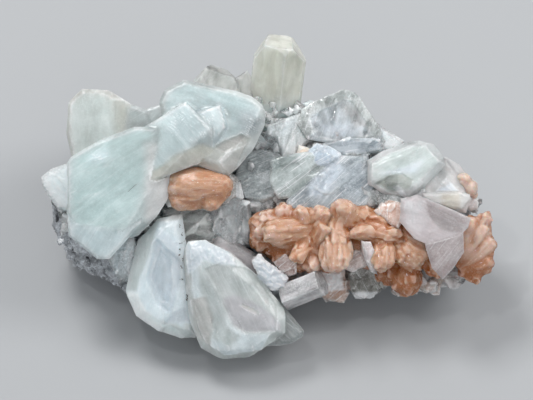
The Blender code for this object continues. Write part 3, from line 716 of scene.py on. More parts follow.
BACK_CRYSTALS_LEFT = (
    tablet((-47, 11, -27), (-54, 30.5, -23), 11, 6),
    tablet((-47, 12, -30), (-45, 29, -33), 10, 6, 20),
    tablet((-45, 12, -27), (-37, 26.5, -25), 9, 6, -15),
    tablet((-46, 10, -34), (-43, 26, -43), 8, 5, 35),
)
BACK_CRYSTALS_MIDDLE = (
    tablet((-16, 13, -29), (-25, 31.5, -25), 11, 6, tint=BEIGE),
    tablet((-14, 14, -28), (-13, 35.5, -21), 12, 7, 10, tint=BEIGE),
    tablet((-12, 13, -31), (-3, 32, -34), 10, 6, -20, tint=BEIGE),
    tablet((-15, 12, -33), (-19, 29, -43), 9, 6, 25, tint=BEIGE),
)
BACK_CRYSTALS_RIGHT = (
    tablet((19, 8, -28), (9, 29, -27), 11, 6, 10),
    tablet((20, 9, -27), (23.5, 30, -21), 11, 7, -10),
    tablet((21, 8, -30), (31, 22, -28), 9, 6, 15),
    tablet((19, 8, -33), (20, 26, -42), 9, 5, -25),
)
BACK_CRYSTALS_END = (
    tablet((44, 2, -25), (41, 17, -23), 9, 6, 10, tint=CLEAR_GREY),
    tablet((45, 2, -26), (51.5, 12, -22), 8, 5, -20, tint=CLEAR_GREY),
    tablet((44, 1, -28), (47, 13, -35), 7, 5, 20, tint=CLEAR_GREY),
)
# Plates in the gaps between the large crystals and beside the sheaves
SIDE_PLATES = (
    plate([(-49.5, -10), (-41, -9.5), (-39.5, -16), (-42, -24), (-45.5, -25.5), (-49, -18)], -1.6,
          (0.1, 0.1), 9, (1.4, 1.0), tint=(0.60, 0.69, 0.72), clear=0.2, grain=70),
    plate([(-11.5, 1), (-6.2, -0.6), (-5.2, -8), (-6.2, -14), (-10.5, -13.5), (-12, -4)], -1.6,
          (0.12, 0.05), 9, (1.2, 1.0), tint=CLEAR_GREY, clear=0.35, grain=100),
    plate([(27.4, -12.0), (30.3, -12.6), (32.4, -17.8), (32.6, -22.9), (30.4, -21.8), (28.2, -17.0)], 5.4,
          (-0.3, 0.15), 6, (0.6, 0.5), tint=(0.76, 0.64, 0.64), clear=0.25, grain=-75),
    plate([(22.8, -15.6), (27.6, -15.0), (28.8, -20.4), (24.6, -21.8), (22.0, -20.4)], 1.8, (0.1, 0.1), 6,
          (0.8, 0.8), tint=(0.56, 0.38, 0.32), clear=0.15, grain=30),
    plate([(0.6, -18.6), (4.2, -16.2), (7.8, -18.6), (8.1, -22.5), (5.7, -23.1), (3.0, -21.6)], 2.4,
          (0.2, 0.2), 6, (0.6, 0.5), tint=(0.26, 0.075, 0.02), clear=0.0, grain=40),
    plate([(15.5, 17.0), (24, 19.0), (33, 18.0), (34, 14.8), (29, 13.4), (20, 12.6), (15.8, 14.2)], -1.4,
          (0.0, 0.2), 7, (1.0, 1.0), tint=(0.32, 0.38, 0.43), clear=0.12, grain=10),
    plate([(27.2, 4.4), (33.5, 3.4), (41.0, 1.2), (40.6, -1.0), (31.0, -2.8), (27.0, -2.4)], 1.6,
          (0.05, 0.1), 7, (1.2, 1.0), tint=(0.64, 0.71, 0.70), clear=0.3, grain=125),
    plate([(39.8, 3.0), (46.5, 3.4), (47.0, 0.6), (41.6, -1.0)], 2.4, (0.1, 0.1), 7, (1.2, 1.0),
          tint=(0.72, 0.77, 0.78), clear=0.25, grain=150),
    plate([(30.6, -3.0), (33.6, -0.6), (35.4, 0.3), (39.6, -0.9), (40.5, -4.5), (38.4, -9), (34.5, -6.6)],
          4.4, (0.05, -0.15), 7, (1.0, 0.8), tint=(0.74, 0.45, 0.33), clear=0.0, grain=80),
    plate([(-7.5, 1.5), (-1, 2.5), (3, 1.5), (1.5, -3.8), (-3.5, -5), (-7, -3.5)], -3.0, (0.1, 0.1), 7,
          (1.2, 1.0), tint=(0.56, 0.62, 0.62), clear=0.35, grain=110),
    plate([(59.0, 0.6), (61.3, 1.2), (62.6, -0.6), (62.2, -2.6), (60.2, -3.2), (58.4, -1.4)], -2.0,
          (0.1, 0), 6, (0.6, 0.6), tint=(0.80, 0.66, 0.63), clear=0.15, grain=60),
)
PEACH_BUD = (
    Lump((-22.2, 4.0, 1.8), (10.2, 6.0, 5.6)),
    Lump((-17.2, 4.0, 1.6), (6.4, 5.2, 5.0)),
    Lump((-26.6, -0.2, 2.0), (3.6, 3.2, 3.4)),
    Lump((-18.0, -0.6, 2.4), (3.6, 2.8, 3.2)),
    Sheaf((-11.6, 3.9, 0.6), (-31.6, 3.6, 3.2), 8.4, 7.2, leaves=2, pale=0.4),
    Sheaf((-14, 2.2, 1), (-27.2, -1.4, 3.0), 5.4, 5, leaves=2, pale=0.25),
    Sheaf((-14, 2.0, 2), (-18.4, -2.2, 4.0), 4.6, 4.2, leaves=2, pale=0.2),
    Sheaf((-17.4, 3.6, 1), (-11.0, 3.6, 1.4), 4.6, 5.0, leaves=2, pale=0.1),
)
PEACH_LEFT = (
    Lump((11, -10.5, -5.1), (15.5, 10.5, 8.0)),
    Lump((1.6, -6.8, -1.4), (8.2, 4.4, 4.0)),
    Lump((12.4, -5.8, -0.6), (9.2, 3.8, 4.0)),
    Sheaf((12.0, -8.4, 0.5), (-2.6, -10.4, 5.2), 8.0, 6.5, 6, leaves=3, pale=0.55),
    Sheaf((8, -7.0, -4), (-6.6, -9.2, -0.6), 8.6, 8, -12, leaves=4, pale=1.0),
    Sheaf((3, -10.2, -5), (-6.4, -13.2, -1.8), 6.4, 7, -10, leaves=3, pale=0.8),
    Sheaf((10.2, -9, 0), (9.0, -1.6, 4.0), 5.4, 4.6, 20, leaves=3, pale=0.7),
    Sheaf((6.6, -8, -3), (2.8, -1.2, 1.4), 7, 5.6, -10, leaves=3, pale=0.9),
    Sheaf((14.6, -9.4, -1), (16.0, -2.1, 3.8), 7.0, 5.6, -8, leaves=3, pale=0.6),
    Sheaf((13.4, -13.0, 1), (16.8, -6.4, 5.8), 5.0, 4.6, 25, leaves=2, pale=0.5),
    Sheaf((11.6, -10.6, 0.4), (6.6, -20.0, 4.4), 5.2, 5.2, -15, leaves=2, pale=0.35),
    Sheaf((8.6, -13.6, -4), (1.4, -20.0, -0.8), 7.4, 6, -10, leaves=4, pale=0.0),
    Sheaf((11.6, -12.0, -3), (13.0, -22.6, 1.6), 6.6, 6, 12, leaves=3, pale=0.85),
    Sheaf((9.6, -14.0, -4), (8.0, -22.4, -0.6), 5.2, 6, leaves=3, pale=0.15),
    Sheaf((17, -12, -5), (17.0, -22.0, -0.2), 7.2, 6.6, leaves=3, pale=0.1),
)
PEACH_MIDDLE = (
    Lump((34, -11.6, -5.3), (15, 9.8, 8.2)),
    Lump((25.0, -5.4, -0.4), (9.6, 4.2, 4.2)),
    Sheaf((20.0, -10.4, -1), (22.6, 0.0, 4.6), 8.4, 5.6, 8, leaves=4, pale=0.6),
    Sheaf((29, -9, -3), (27.6, -2.0, 2.4), 7.6, 5.6, -12, leaves=3, pale=0.1),
    Sheaf((24.8, -3.4, 0), (35.6, -7.2, 3.4), 4.8, 5, 10, leaves=3, pale=-2.2),
    Lump((28.6, -9.8, 3.6), (5.0, 2.5, 3.0)),
    Lump((34.2, -10.2, 3.2), (5.6, 2.9, 3.2)),
    Sheaf((33.4, -9.4, 3.6), (24.8, -9.6, 4.8), 4.4, 4.2, 12, leaves=3, pale=0.45),
    Sheaf((29.6, -9.6, 3.4), (38.6, -10.6, 4.2), 5.0, 4.6, -10, leaves=3, pale=0.4),
    Sheaf((19.0, -6.0, 0), (17.4, -22.0, 4.6), 7.0, 6.0, -6, leaves=3, pale=0.9),
    Sheaf((19.8, -6.0, 1), (20.8, -21.8, 6.0), 9.0, 6.4, 10, leaves=4, pale=0.8),
    Sheaf((33.6, -9.6, 1), (34.0, -21.4, 6.0), 7.8, 6.0, -8, leaves=4, pale=0.4),
    Sheaf((25, -10, -4), (25.6, -19, -0.6), 6, 6, leaves=3, pale=0.0),
    Lump((42.4, -16.0, 0.6), (5.6, 5.2, 4.6)),
    Lump((41.0, -23.6, -3.2), (5.0, 5.4, 4.6)),
    Sheaf((36.0, -10.4, -1), (47.2, -18.0, 2.6), 9.4, 7, -8, leaves=3, pale=0.3),
    Sheaf((38.0, -10.0, 0), (42.4, -19.6, 4.0), 7.6, 6, 14, leaves=2, pale=0.35),
    Sheaf((38.4, -16.0, -4), (41.8, -28.2, 0.0), 8.6, 8, -6, leaves=2, pale=-1.0),
    Sheaf((34.5, -16.6, -6), (36.6, -25.2, -2.4), 8.2, 8, 8, leaves=3, pale=0.1),
    Sheaf((44, -12, -3), (53, -22.3, -1), 9, 7, leaves=4, pale=0.3),
)
PEACH_RIGHT = (
    Lump((59.4, -13.5, -3.4), (5.4, 8.6, 6.0)),
    Lump((60.4, -10.6, -0.4), (3.4, 2.4, 2.6)),
    Sheaf((56.8, -20.0, -3), (61.2, -4.4, -0.6), 7.0, 7, 4, leaves=3, pale=1.1),
    Sheaf((57.0, -20.4, -2.5), (65.4, -6.2, -0.2), 7.4, 8, 4, leaves=3, pale=1.1),
    Sheaf((57.2, -21.0, -2.2), (67.6, -11.6, -0.6), 7.6, 8, leaves=3, pale=1.0),
    Sheaf((57.6, -21.4, -2.4), (67.6, -17.8, -1.2), 6.8, 7.5, leaves=3, pale=0.15),
    Sheaf((57.4, -20.8, -3), (65.2, -23.6, -1.8), 5.8, 7, leaves=2, pale=0.4),
    # This sheaf's strongly negative tone paints it dark, as painted shade where the fan's roots lie in
    # shadow.
    Sheaf((60, -16, -3), (59.8, -24.2, -1.6), 7.0, 7, leaves=2, pale=-2.6),
    Sheaf((62, -12, -2), (65.4, -3.6, 1.0), 5.0, 5, 10, leaves=3, pale=0.7),
)
PEACH_EDGE = (
    Lump((58.2, 6.2, -1.4), (2.6, 2.0, 3.4)),
    Lump((60.2, 3.6, -2.0), (2.4, 2.8, 3.4)),
    Sheaf((61.6, 0.8, -3.4), (57.0, 7.0, 0.6), 4.4, 3.6, 10, leaves=3, pale=1.5),
)
# Pale streaks that run out across the window plate
WINDOW_STREAKS = [
    Patch(0, corners, wall=1.4, tint=(0.68, 0.73, 0.77), clear=0.1)
    for corners in (
        [(17.5, 20.0), (12.4, 24.6), (13.6, 25.4)],
        [(18.5, 20.5), (16.0, 27.0), (17.2, 27.6)],
        [(19.5, 20.5), (20.4, 28.6), (21.6, 28.4)],
        [(21.0, 20.5), (24.6, 26.4), (25.6, 25.4)],
        [(22.5, 19.5), (28.0, 22.6), (28.6, 21.2)],
    )
]
# Areas on the faces of a group's crystals, each with its crystal's number, in order
PATCHES = {
    "left_blades": (
        Patch(3, [(-37.5, 17), (-29, 18), (-27, 7), (-28, -4), (-36, -7), (-38.1, -4.2), (-37.5, 3),
                  (-36.9, 8.4)], wall=4, tint=(0.74, 0.75, 0.735), clear=0.25),
        Patch(3, [(-58, 3), (-50, 9), (-40, 8), (-40, -3), (-50, -8), (-57, -5)], wall=8,
              tint=(0.58, 0.735, 0.725)),
        # A paler, lightly frosted patch with ridges where blade C glints: real ridges, and its paler colour
        # partly a painted highlight.
        Patch(3, [(-54.9, 11.6), (-53.4, 13.8), (-48.6, 15.4), (-48.0, 12.6), (-51.0, 10.9)], wall=2.2,
              frost=0.12, ridges=(110, 0.9, 0.2), tint=(0.66, 0.78, 0.79)),
        Patch(3, [(-60, 8), (-57, 11), (-50, 13), (-46, 14), (-46, 11), (-52, 8), (-58, 5)], wall=1.5,
              ridges=(115, 1.3, 0.14)),
        Patch(2, [(-69, 9), (-58, 13), (-56, -2), (-69, -2)], wall=2, frost=0.3, ridges=(60, 0.9, 0.2)),
        Patch(4, [(-61.2, -2.7), (-55, -9), (-50, -12), (-44, -9), (-40, -9), (-46, -20), (-62, -14)],
              wall=2.0, tint=(0.56, 0.67, 0.69)),
        Patch(5, [(-30.6, 20.8), (-29.2, 27.2), (-24.0, 30.0), (-17.4, 22.8), (-19.8, 17.8), (-25.2, 17.4)],
              wall=2.4, ridges=(44, 0.8, 0.24), tint=(0.61, 0.72, 0.73), frost=0.05),
        Patch(5, [(-37.5, 6.6), (-28.1, 13.4), (-21.3, 16.4), (-15.5, 15.6), (-20, 9), (-36, 3)], -0.3, 0.9,
              tint=(0.70, 0.70, 0.62), clear=0.2),
        Patch(6, [(-20.1, 27.6), (-16.8, 29.4), (-13.2, 25.2), (-13.2, 18.4), (-19.4, 19.7)], wall=1.8,
              ridges=(44, 0.8, 0.22), tint=(0.72, 0.83, 0.84), frost=0.05),
        Patch(7, [(-9.3, 26.4), (-4.2, 27.0), (-1.8, 24.0), (-4.2, 19.0), (-8.8, 20.0)], wall=1.8,
              ridges=(60, 0.8, 0.24), frost=0.1, tint=(0.44, 0.51, 0.52)),
        Patch(7, [(-24, 17), (-16.2, 16.5), (-8.7, 19.8), (-5.8, 18.2), (-12, 6.6), (-15.6, 5), (-24, 9)],
              -0.35, 0.7, tint=(0.60, 0.62, 0.565), clear=0.3),
        Patch(7, [(-16.2, 16.5), (-8.7, 19.8), (-6.8, 18.2), (-13.3, 14.6), (-16.5, 15.6)], -0.3, 0.5,
              tint=(0.57, 0.56, 0.52), clear=0.3),
        Patch(7, [(-13.3, 14.3), (-7.1, 16.9), (-12.0, 6.6), (-15.2, 11.3)], 0.35, 0.5,
              tint=(0.64, 0.64, 0.60), clear=0.3),
    ),
    "tall_crystal": (
        Patch(0, [(-7, 29), (12, 29), (12, 14), (-7, 14)], wall=8, tint=(0.75, 0.82, 0.81), clear=0.1,
              frost=0.05),
    ),
    "front_left_blade": (
        Patch(0, [(-33.5, -6.5), (-35.4, -12.6), (-36.9, -18.4), (-38.9, -22.9), (-40.0, -27.5),
                  (-37.3, -32.9), (-33.9, -35.6), (-28.5, -36.9), (-23.0, -37.2), (-23.0, -5.5)], wall=0.7,
              tint=(0.70, 0.80, 0.84), clear=0.05),
        Patch(0, [(-34.3, -11.8), (-36.8, -22.9), (-33.5, -32.1), (-30.8, -33.8), (-29.7, -33.6),
                  (-27.4, -26.4), (-26.4, -19.1), (-29.3, -16.1)], -0.5, 1.3, tint=(0.71, 0.80, 0.86),
              clear=0.15),
        Patch(0, [(-33, -15), (-35.4, -22.9), (-32.5, -30.6), (-30.2, -31), (-29.2, -24), (-29.8, -18.1)],
              -0.25, 0.6, tint=(0.68, 0.78, 0.85), clear=0.2),
        Patch(0, [(-33.5, -8.8), (-27.0, -12.6), (-27.1, -17.6), (-30.4, -15.7), (-33.9, -11.8)], 0.15, 1.6,
              tint=(0.55, 0.64, 0.69), clear=0.05, frost=0.2),
        Patch(0, [(-31.0, -36.9), (-29.6, -33.9), (-26.0, -32.6), (-23.4, -36.9)], -0.35, 1.4,
              tint=(0.67, 0.75, 0.80), clear=0.2),
        Patch(0, [(-44.0, -27.0), (-40.6, -35.6), (-33.8, -40.0), (-31.0, -37.6), (-37.0, -33.4),
                  (-40.2, -27.6)], wall=1.0, tint=(0.83, 0.93, 0.96), clear=0.0),
    ),
    "front_right_blades": (
        Patch(0, [(-24.0, -13.8), (-20.1, -15.0), (-20.1, -20.3), (-16.6, -27.5), (-14.0, -32.9),
                  (-12.1, -37.9), (-8.2, -40.0), (0.0, -40.2), (-2.4, -45.0), (-13.5, -46.6),
                  (-19.5, -42.8), (-21.6, -37.5), (-23.4, -27.0)], 0.25, 0.6, tint=(0.66, 0.73, 0.75),
              clear=0.06),
        Patch(0, [(-21.5, -19), (-19, -21), (-13.2, -33.5), (-13, -38), (-9, -41), (-12, -44), (-18, -41),
                  (-20, -32)], wall=1.2, tint=(0.66, 0.73, 0.72), clear=0.3),
        Patch(0, [(-19.2, -20.4), (-15.9, -27.5), (-13.2, -32.9), (-11.4, -37.5), (-7.9, -39.4),
                  (1.8, -39.4), (1.8, -31.2), (-5.4, -20.6), (-14.7, -18.6)], -0.35, 0.6,
              tint=(0.63, 0.665, 0.65), clear=0.14),
        Patch(0, [(-23.4, -29.8), (-18.9, -29.0), (-17.0, -35.0), (-18.0, -44.2), (-22.3, -40.4)], -0.2,
              0.9, tint=(0.60, 0.605, 0.57), clear=0.45),
        Patch(0, [(-13.8, -29.5), (-10.8, -28.3), (-2.4, -32.0), (3.0, -36.8), (3.0, -39.3), (-8.1, -39.3),
                  (-11.4, -37.2)], wall=1.4, tint=(0.61, 0.60, 0.62), clear=0.25),
        Patch(0, [(-8.4, -30.8), (-5.8, -32.3), (-3.4, -33.8), (-3.7, -34.6), (-6.2, -33.3), (-8.5, -31.6)],
              -0.4, 0.5, tint=(0.80, 0.78, 0.75)),
        Patch(3, [(-6, -15), (0, -15), (7, -23), (3, -28), (-2, -29), (-6, -21)], wall=1, frost=0.8,
              ridges=(70, 1.6, 0.35), tint=(0.56, 0.63, 0.70), clear=0.1),
        Patch(0, [(-25.4, -12.8), (-19.5, -11.6), (-12.0, -15.6), (-8.0, -19.4), (-14.0, -19.2),
                  (-19.6, -17.8), (-22.0, -20.4), (-24.6, -22.0)], wall=1.2, frost=0.35,
              tint=(0.47, 0.54, 0.58), clear=0.05),
        Patch(0, [(-18.8, -20.6), (-12.0, -19.2), (-5.6, -21.2), (-2.6, -26.0), (-8.0, -28.6),
                  (-15.0, -26.4)], wall=2.5, tint=(0.50, 0.54, 0.53), clear=0.1),
        Patch(0, [(-11.5, -15.6), (-2.0, -23.6), (4.6, -33.0), (2.0, -33.0), (-4.4, -24.4), (-12.6, -17.0)],
              wall=1.0, tint=(0.53, 0.575, 0.555), clear=0.1),
    ),
    "window_plate": (
        Patch(0, [(11.9, 24.8), (22.0, 30.1), (24.7, 29.5), (30.1, 22.4), (27.6, 17.0), (13.3, 19.4)],
              -0.35, 0.5),
        Patch(0, [(14.0, 19.5), (15.6, 22.4), (20.4, 23.4), (24.4, 21.6), (26.6, 17.2)], wall=2.4,
              tint=(0.57, 0.63, 0.69), clear=0.1),
        Patch(0, [(9, 15), (12.5, 20.4), (28.6, 18.4), (36, 19.5), (36, 14)], wall=1.2,
              tint=(0.50, 0.55, 0.585), clear=0.2),
        *WINDOW_STREAKS,
        Patch(0, [(20.8, 28.2), (22.8, 29.3), (24.6, 28.4), (28.8, 22.8), (25.8, 22.2)], wall=1.5,
              tint=(0.62, 0.60, 0.60), clear=0.5),
        Patch(1, [(28, 25), (33, 25), (42, 18), (38, 12), (28, 13)], wall=1, frost=0.2),
        Patch(2, [(-3, 27), (9, 28), (10, 24), (2, 18), (-4, 20)], wall=3, frost=0.12,
              tint=(0.54, 0.60, 0.60)),
        Patch(2, [(-4, 20), (2, 19), (4, 12), (-2, 11)], -0.8, 1.2, tint=(0.60, 0.64, 0.64), clear=0.55),
        Patch(2, [(9, 26), (13, 21), (6, 12), (3.5, 12.6), (6, 19)], 0.5, 0.6, tint=(0.72, 0.78, 0.77),
              clear=0.3, ridges=(-20, 2.4, 0.2)),
    ),
    "centre_plates": (
        Patch(0, [(-9.6, 9), (-6, 14), (-1, 14), (-5, 4), (-10, 4)], wall=1, ridges=(120, 1.3, 0.3)),
        Patch(1, [(3.5, 10.6), (8.4, 11.4), (9.6, 9.6), (7.5, 7.4), (4.2, 8.0)], -0.2, 0.5),
        Patch(2, [(11, -1), (20, 11), (28, 11), (29, 5), (25, -2)], -0.2, 0.8, frost=0.06,
              tint=(0.27, 0.33, 0.37), clear=0.12),
        Patch(3, [(11, 18), (22, 17), (22, 4), (11, 4)], wall=1, frost=0.3, tint=(0.30, 0.41, 0.52)),
        Patch(2, [(12, 9), (20, 12.5), (22, 9), (17, 2), (12, 1)], wall=2, frost=0.25,
              tint=(0.42, 0.51, 0.59)),
    ),
    "right_plates": (
        Patch(0, [(31.4, 4.8), (35.4, 7.2), (39.6, 8.1), (42.9, 6.0), (41.4, 3.0), (36.6, 2.4)], -0.4, 0.6,
              tint=(0.64, 0.70, 0.62), clear=0.45),
        Patch(0, [(36.6, 3.6), (40.5, 0.2), (41.4, 0.8), (38.2, 4.4)], 0.3, 0.4, tint=FROST),
        Patch(0, [(33, 8), (41, 10), (46, 12), (44, 8), (38, 8)], wall=2.0, tint=(0.76, 0.82, 0.86),
              clear=0.05),
        Patch(1, [(49.5, 2.4), (52.9, 6.8), (56.4, 2.6)], 0.4, 0.5, tint=(0.80, 0.86, 0.94), clear=0.05,
              frost=0.04),
        Patch(2, [(51.5, 2.4), (57, 2.4), (57, -3), (51.5, -3)], wall=1.0, tint=(0.78, 0.73, 0.62),
              clear=0.2),
        Patch(1, [(47, 9), (52, 10), (54, 5), (49, 2)], wall=1.2, ridges=(135, 1.6, 0.18),
              tint=(0.74, 0.74, 0.73), clear=0.25),
    ),
    "glassy_foot": (
        # A near white frosted patch: real frost relief, and its near white colour partly a painted highlight
        # where the plate glints.
        Patch(2, [(16.2, -22.0), (21, -22.5), (22.5, -27), (18, -27.5)], wall=0.8, frost=0.6,
              tint=(0.90, 0.84, 0.81)),
        Patch(0, [(23, -28), (36, -28), (33, -31), (24, -31)], wall=0.8, frost=0.5,
              tint=(0.80, 0.83, 0.85)),
    ),
    "violet_plates": (
        Patch(0, [(46.2, -0.1), (59.3, -5.6), (56.9, -10.1), (50.7, -9.1), (48.0, -5.6)], -0.2, 0.8,
              tint=(0.58, 0.51, 0.505), clear=0.25),
        Patch(0, [(39.6, 0.0), (45.6, 0.0), (48.0, -6.0), (44.4, -10.2), (41.4, -8.4)], wall=1.5,
              tint=(0.83, 0.79, 0.80), clear=0.15, ridges=(10, 1.0, 0.10)),
        Patch(1, [(45, -11), (56, -11), (57, -16), (51, -23), (48, -20)], wall=1.5,
              ridges=(140, 0.9, 0.10)),
    ),
}
PALE_GROUPS = {
    "left_blades": LEFT_BLADES,
    "front_left_blade": FRONT_LEFT_BLADE,
    "front_right_blades": FRONT_RIGHT_BLADES,
    "tall_crystal": TALL_CRYSTAL,
    "back_tips": BACK_TIPS,
    "window_plate": WINDOW_PLATE,
    "centre_plates": CENTRE_PLATES,
    "right_plates": RIGHT_PLATES,
    "violet_plates": VIOLET_PLATES,
    "plates_under_bud": PLATES_UNDER_BUD,
    "small_prism": SMALL_PRISM,
    "glassy_foot": GLASSY_FOOT,
    "right_foot": RIGHT_FOOT,
    "back_crystals_left": BACK_CRYSTALS_LEFT,
    "back_crystals_middle": BACK_CRYSTALS_MIDDLE,
    "back_crystals_right": BACK_CRYSTALS_RIGHT,
    "back_crystals_end": BACK_CRYSTALS_END,
}
PEACH_GROUPS = {
    "peach_bud": PEACH_BUD,
    "peach_sheaves_left": PEACH_LEFT,
    "peach_sheaves_middle": PEACH_MIDDLE,
    "peach_sheaves_right": PEACH_RIGHT,
    "peach_sheaf_edge": PEACH_EDGE,
}

# How fine each group's mesh is, in millimetres
VOXEL = {"left_blades": 0.38, "front_right_blades": 0.30, "matrix_rock": 0.6, "small_crystals": 0.32}
FINE_VOXEL = 0.26

# Meshes with more faces than this keep this share of them
THINNED_ABOVE = 8000
KEPT_SHARE = 0.4
KEPT_SHARES = {"matrix_rock_stone": 0.5, "rock_druse": 1.0}
KEPT_SHARES.update((f"back_crystals_{place}_crystals", 0.3) for place in ("left", "middle", "right", "end"))

# Dark needle ends and specks on the blades, across and up the face in millimetres
NEEDLE = ((-42.5, 2.4), (-39.9, 4.7))
NEEDLE_WIDTH = 0.16
SPECKS = (
    (-27.1, -8.1), (-26.1, -10.1), (-25.3, -11.8), (-26.8, -13.4), (-27.1, -15.0), (-26.8, -16.2),
    (-26.4, -17.9), (-26.3, -20.4), (-26.4, -23.4), (-24.9, -28.5), (-24.9, -30.2), (-4.5, -10.2),
)
# How many specks lie about each of those places, how far they stray and reach, and how wide they are
SPECKS_PER_PLACE = 3
SPECK_STRAY = (0.25, 0.6)
SPECK_REACH = (0.1, 0.14)
SPECK_WIDTHS = (0.12, 0.36)
# How many pale groups, from the first, carry them, and how near a place their surface is looked for
SPECKED_GROUPS = 3
SURFACE_REACH = 0.5

# How far the creases between a group's crystals are filled, over how many rounds of smoothing they are found,
# and over how many vertices the crystals' colours run together
GROWN_TOGETHER = {
    "left_blades": 1.1,
    "front_right_blades": 0.4,
    "window_plate": 0.4,
    "centre_plates": 0.9,
    "right_plates": 0.6,
    "violet_plates": 1.3,
    "plates_under_bud": 0.9,
    "small_crystals": 0.3,
}
CREASE_ROUNDS = 24
PEACH_FILLED = 1.1
PEACH_CREASE_ROUNDS = 40
BLENDED = {
    "left_blades": 5,
    "front_right_blades": 2,
    "window_plate": 2,
    "centre_plates": 2,
    "right_plates": 3,
    "violet_plates": 5,
}

# How soft the edges between facets are
FACET_BLUR = 0.2
GLASS_BLUR = 0.06
PEACH_BLUR = 0.12

# The level out of the face below which the sheaves are painted darker, as painted shade on their low parts,
# in millimetres
PEACH_SHADE_LEVEL = {
    "peach_bud": -1.0,
    "peach_sheaves_left": 2.6,
    "peach_sheaves_middle": 3.0,
    "peach_sheaves_right": 2.8,
    "peach_sheaf_edge": -3.0,
}
# The facets of each group's faces: size in millimetres, length for their width, lean and steps
BACK_FACETS = (3.4, 2.2, 0.12, 0.10)
FACETS = {
    "left_blades": (8.0, 2.0, 0.02, 0.02),
    "front_left_blade": (6.0, 2.2, 0.05, 0.05),
    "front_right_blades": (6.0, 2.2, 0.05, 0.06),
    "tall_crystal": (6.0, 3.0, 0.05, 0.06),
    "back_tips": (5.0, 1.8, 0.05, 0.05),
    "window_plate": (5.0, 1.8, 0.07, 0.07),
    "centre_plates": (6.5, 1.9, 0.09, 0.05),
    "right_plates": (5.0, 1.8, 0.09, 0.06),
    "violet_plates": (7.0, 2.4, 0.03, 0.02),
    "plates_under_bud": (3.6, 1.7, 0.20, 0.10),
    "small_prism": (9.0, 4.0, 0.02, 0.02),
    "glassy_foot": (2.6, 1.5, 0.30, 0.20),
    "right_foot": (2.4, 1.6, 0.30, 0.20),
    "small_crystals": (3.0, 1.5, 0.15, 0.06),
}
PEACH_FACETS = {
    "peach_bud": (4.0, 2.0, 0.08, 0.08),
    "peach_sheaves_left": (2.4, 1.6, 0.24, 0.18),
    "peach_sheaves_middle": (2.4, 1.6, 0.24, 0.18),
    "peach_sheaves_right": (2.4, 3.2, 0.08, 0.08),
    "peach_sheaf_edge": (2.0, 2.0, 0.15, 0.15),
}
# Pale bands across sheaves, as outlines on the face
PALE_BANDS = {
    "peach_bud": (((-28.6, 7.6), (-27.4, 7.8), (-28.6, 3.4), (-26.6, -2.6), (-27.4, -2.8), (-29.8, 3.2)),),
    "peach_sheaves_middle": (((29.4, -6.2), (31.2, -6.2), (30.6, -11.0), (29.2, -11.0)),),
}

# The colours and clearness of small crystals: in most places, and beside the peach sheaves
FILLER_LOOKS = ((PEARL, 0.3), (CLEAR_GREY, 0.5), (FROST, 0.15), (CLEAR_GREY, 0.35), ((0.66, 0.69, 0.64), 0.4))
WARM_LOOKS = (
    (BLUSH, 0.3),
    (CLEAR_GREY, 0.4),
    ((0.80, 0.73, 0.71), 0.2),
    (AMBER, 0.2),
    ((0.52, 0.32, 0.22), 0.15),
)

# Where small crystals fill the gaps: outline, level, count, least and greatest radius, and looks
FILLED_AREAS = (
    ([(-44.4, -15.6), (-40.8, -12.0), (-36.0, -4.2), (-30.6, -1.8), (-25.2, -3.6), (-9.0, -1.8),
      (-8.1, -11.4), (-14.4, -13.8), (-24.0, -11.4), (-28.2, -9.6), (-32.4, -6.6), (-36.6, -12.0),
      (-40.8, -19.2), (-43.8, -19.8)], -3.5, 34, 2.0, 4.2, FILLER_LOOKS),
    ([(-10.2, 12.0), (-4.2, 20.4), (1.8, 24.0), (9.0, 18.0), (24.0, 19.8), (33.6, 16.2), (28.8, 9.0),
      (31.8, 0.0), (21.0, -2.4), (-6.0, -1.8), (-9.0, 3.0)], -3.4, 50, 2.0, 4.4, FILLER_LOOKS),
    ([(-5.4, -14.4), (-0.6, -17.4), (4.2, -23.4), (14.4, -21.6), (15.0, -27.6), (3.9, -27.0),
      (-2.4, -19.8)], -6.0, 18, 1.8, 3.4, WARM_LOOKS),
    ([(38.0, -24.0), (51.0, -24.6), (57.6, -24.0), (51.0, -26.6), (39.0, -27.6)], -6.0, 14, 1.8, 3.4,
     WARM_LOOKS),
    ([(51.0, 3.0), (60.0, 6.0), (63.0, 0.0), (61.8, -4.8), (57.6, -3.6)], -4.5, 14, 1.2, 2.8, WARM_LOOKS),
    ([(-66.0, 2.0), (-61.2, 0.0), (-59.4, -9.6), (-62.0, -9.0)], -6.5, 10, 1.2, 2.6, FILLER_LOOKS),
    ([(-4.5, 31.5), (10.5, 27.6), (12.6, 21.0), (7.8, 15.0), (3.0, 18.0), (-2.4, 22.2)], -6.0, 24, 1.4, 3.4,
     FILLER_LOOKS),
    ([(24, 24), (36, 18), (41, 15), (34, 14), (26, 15)], -4.6, 18, 1.6, 2.8, FILLER_LOOKS),
    ([(18, 15.4), (30, 15.6), (37, 14.6), (35, 13.2), (20, 12.8)], -2.6, 16, 1.4, 2.2, FILLER_LOOKS),
    ([(27, 1.6), (33, 2.8), (42, 2.0), (52, 2.6), (50, 0.4), (39, -2.0), (29, -2.2)], -1.4, 16, 2.0, 3.4,
     FILLER_LOOKS),
)


def hashed(cells, seed):
    """A number from 0 to 1 for each whole cell of space, without order from cell to cell."""
    x, y, z = cells.T
    across, along, up, sown = HASH_PRIMES
    mixed = (x * across ^ y * along ^ z * up ^ (seed + 1) * sown) & 0xFFFFFFFF
    mixed = (mixed ^ mixed >> 13) * HASH_MIX & 0xFFFFFFFF
    return ((mixed ^ mixed >> 16) & 0xFFFF) / 0xFFFF


def hashed_rows(cells, seed):
    """Three such numbers for each cell."""
    return np.stack([hashed(cells, seed + k) for k in range(3)], axis=1)


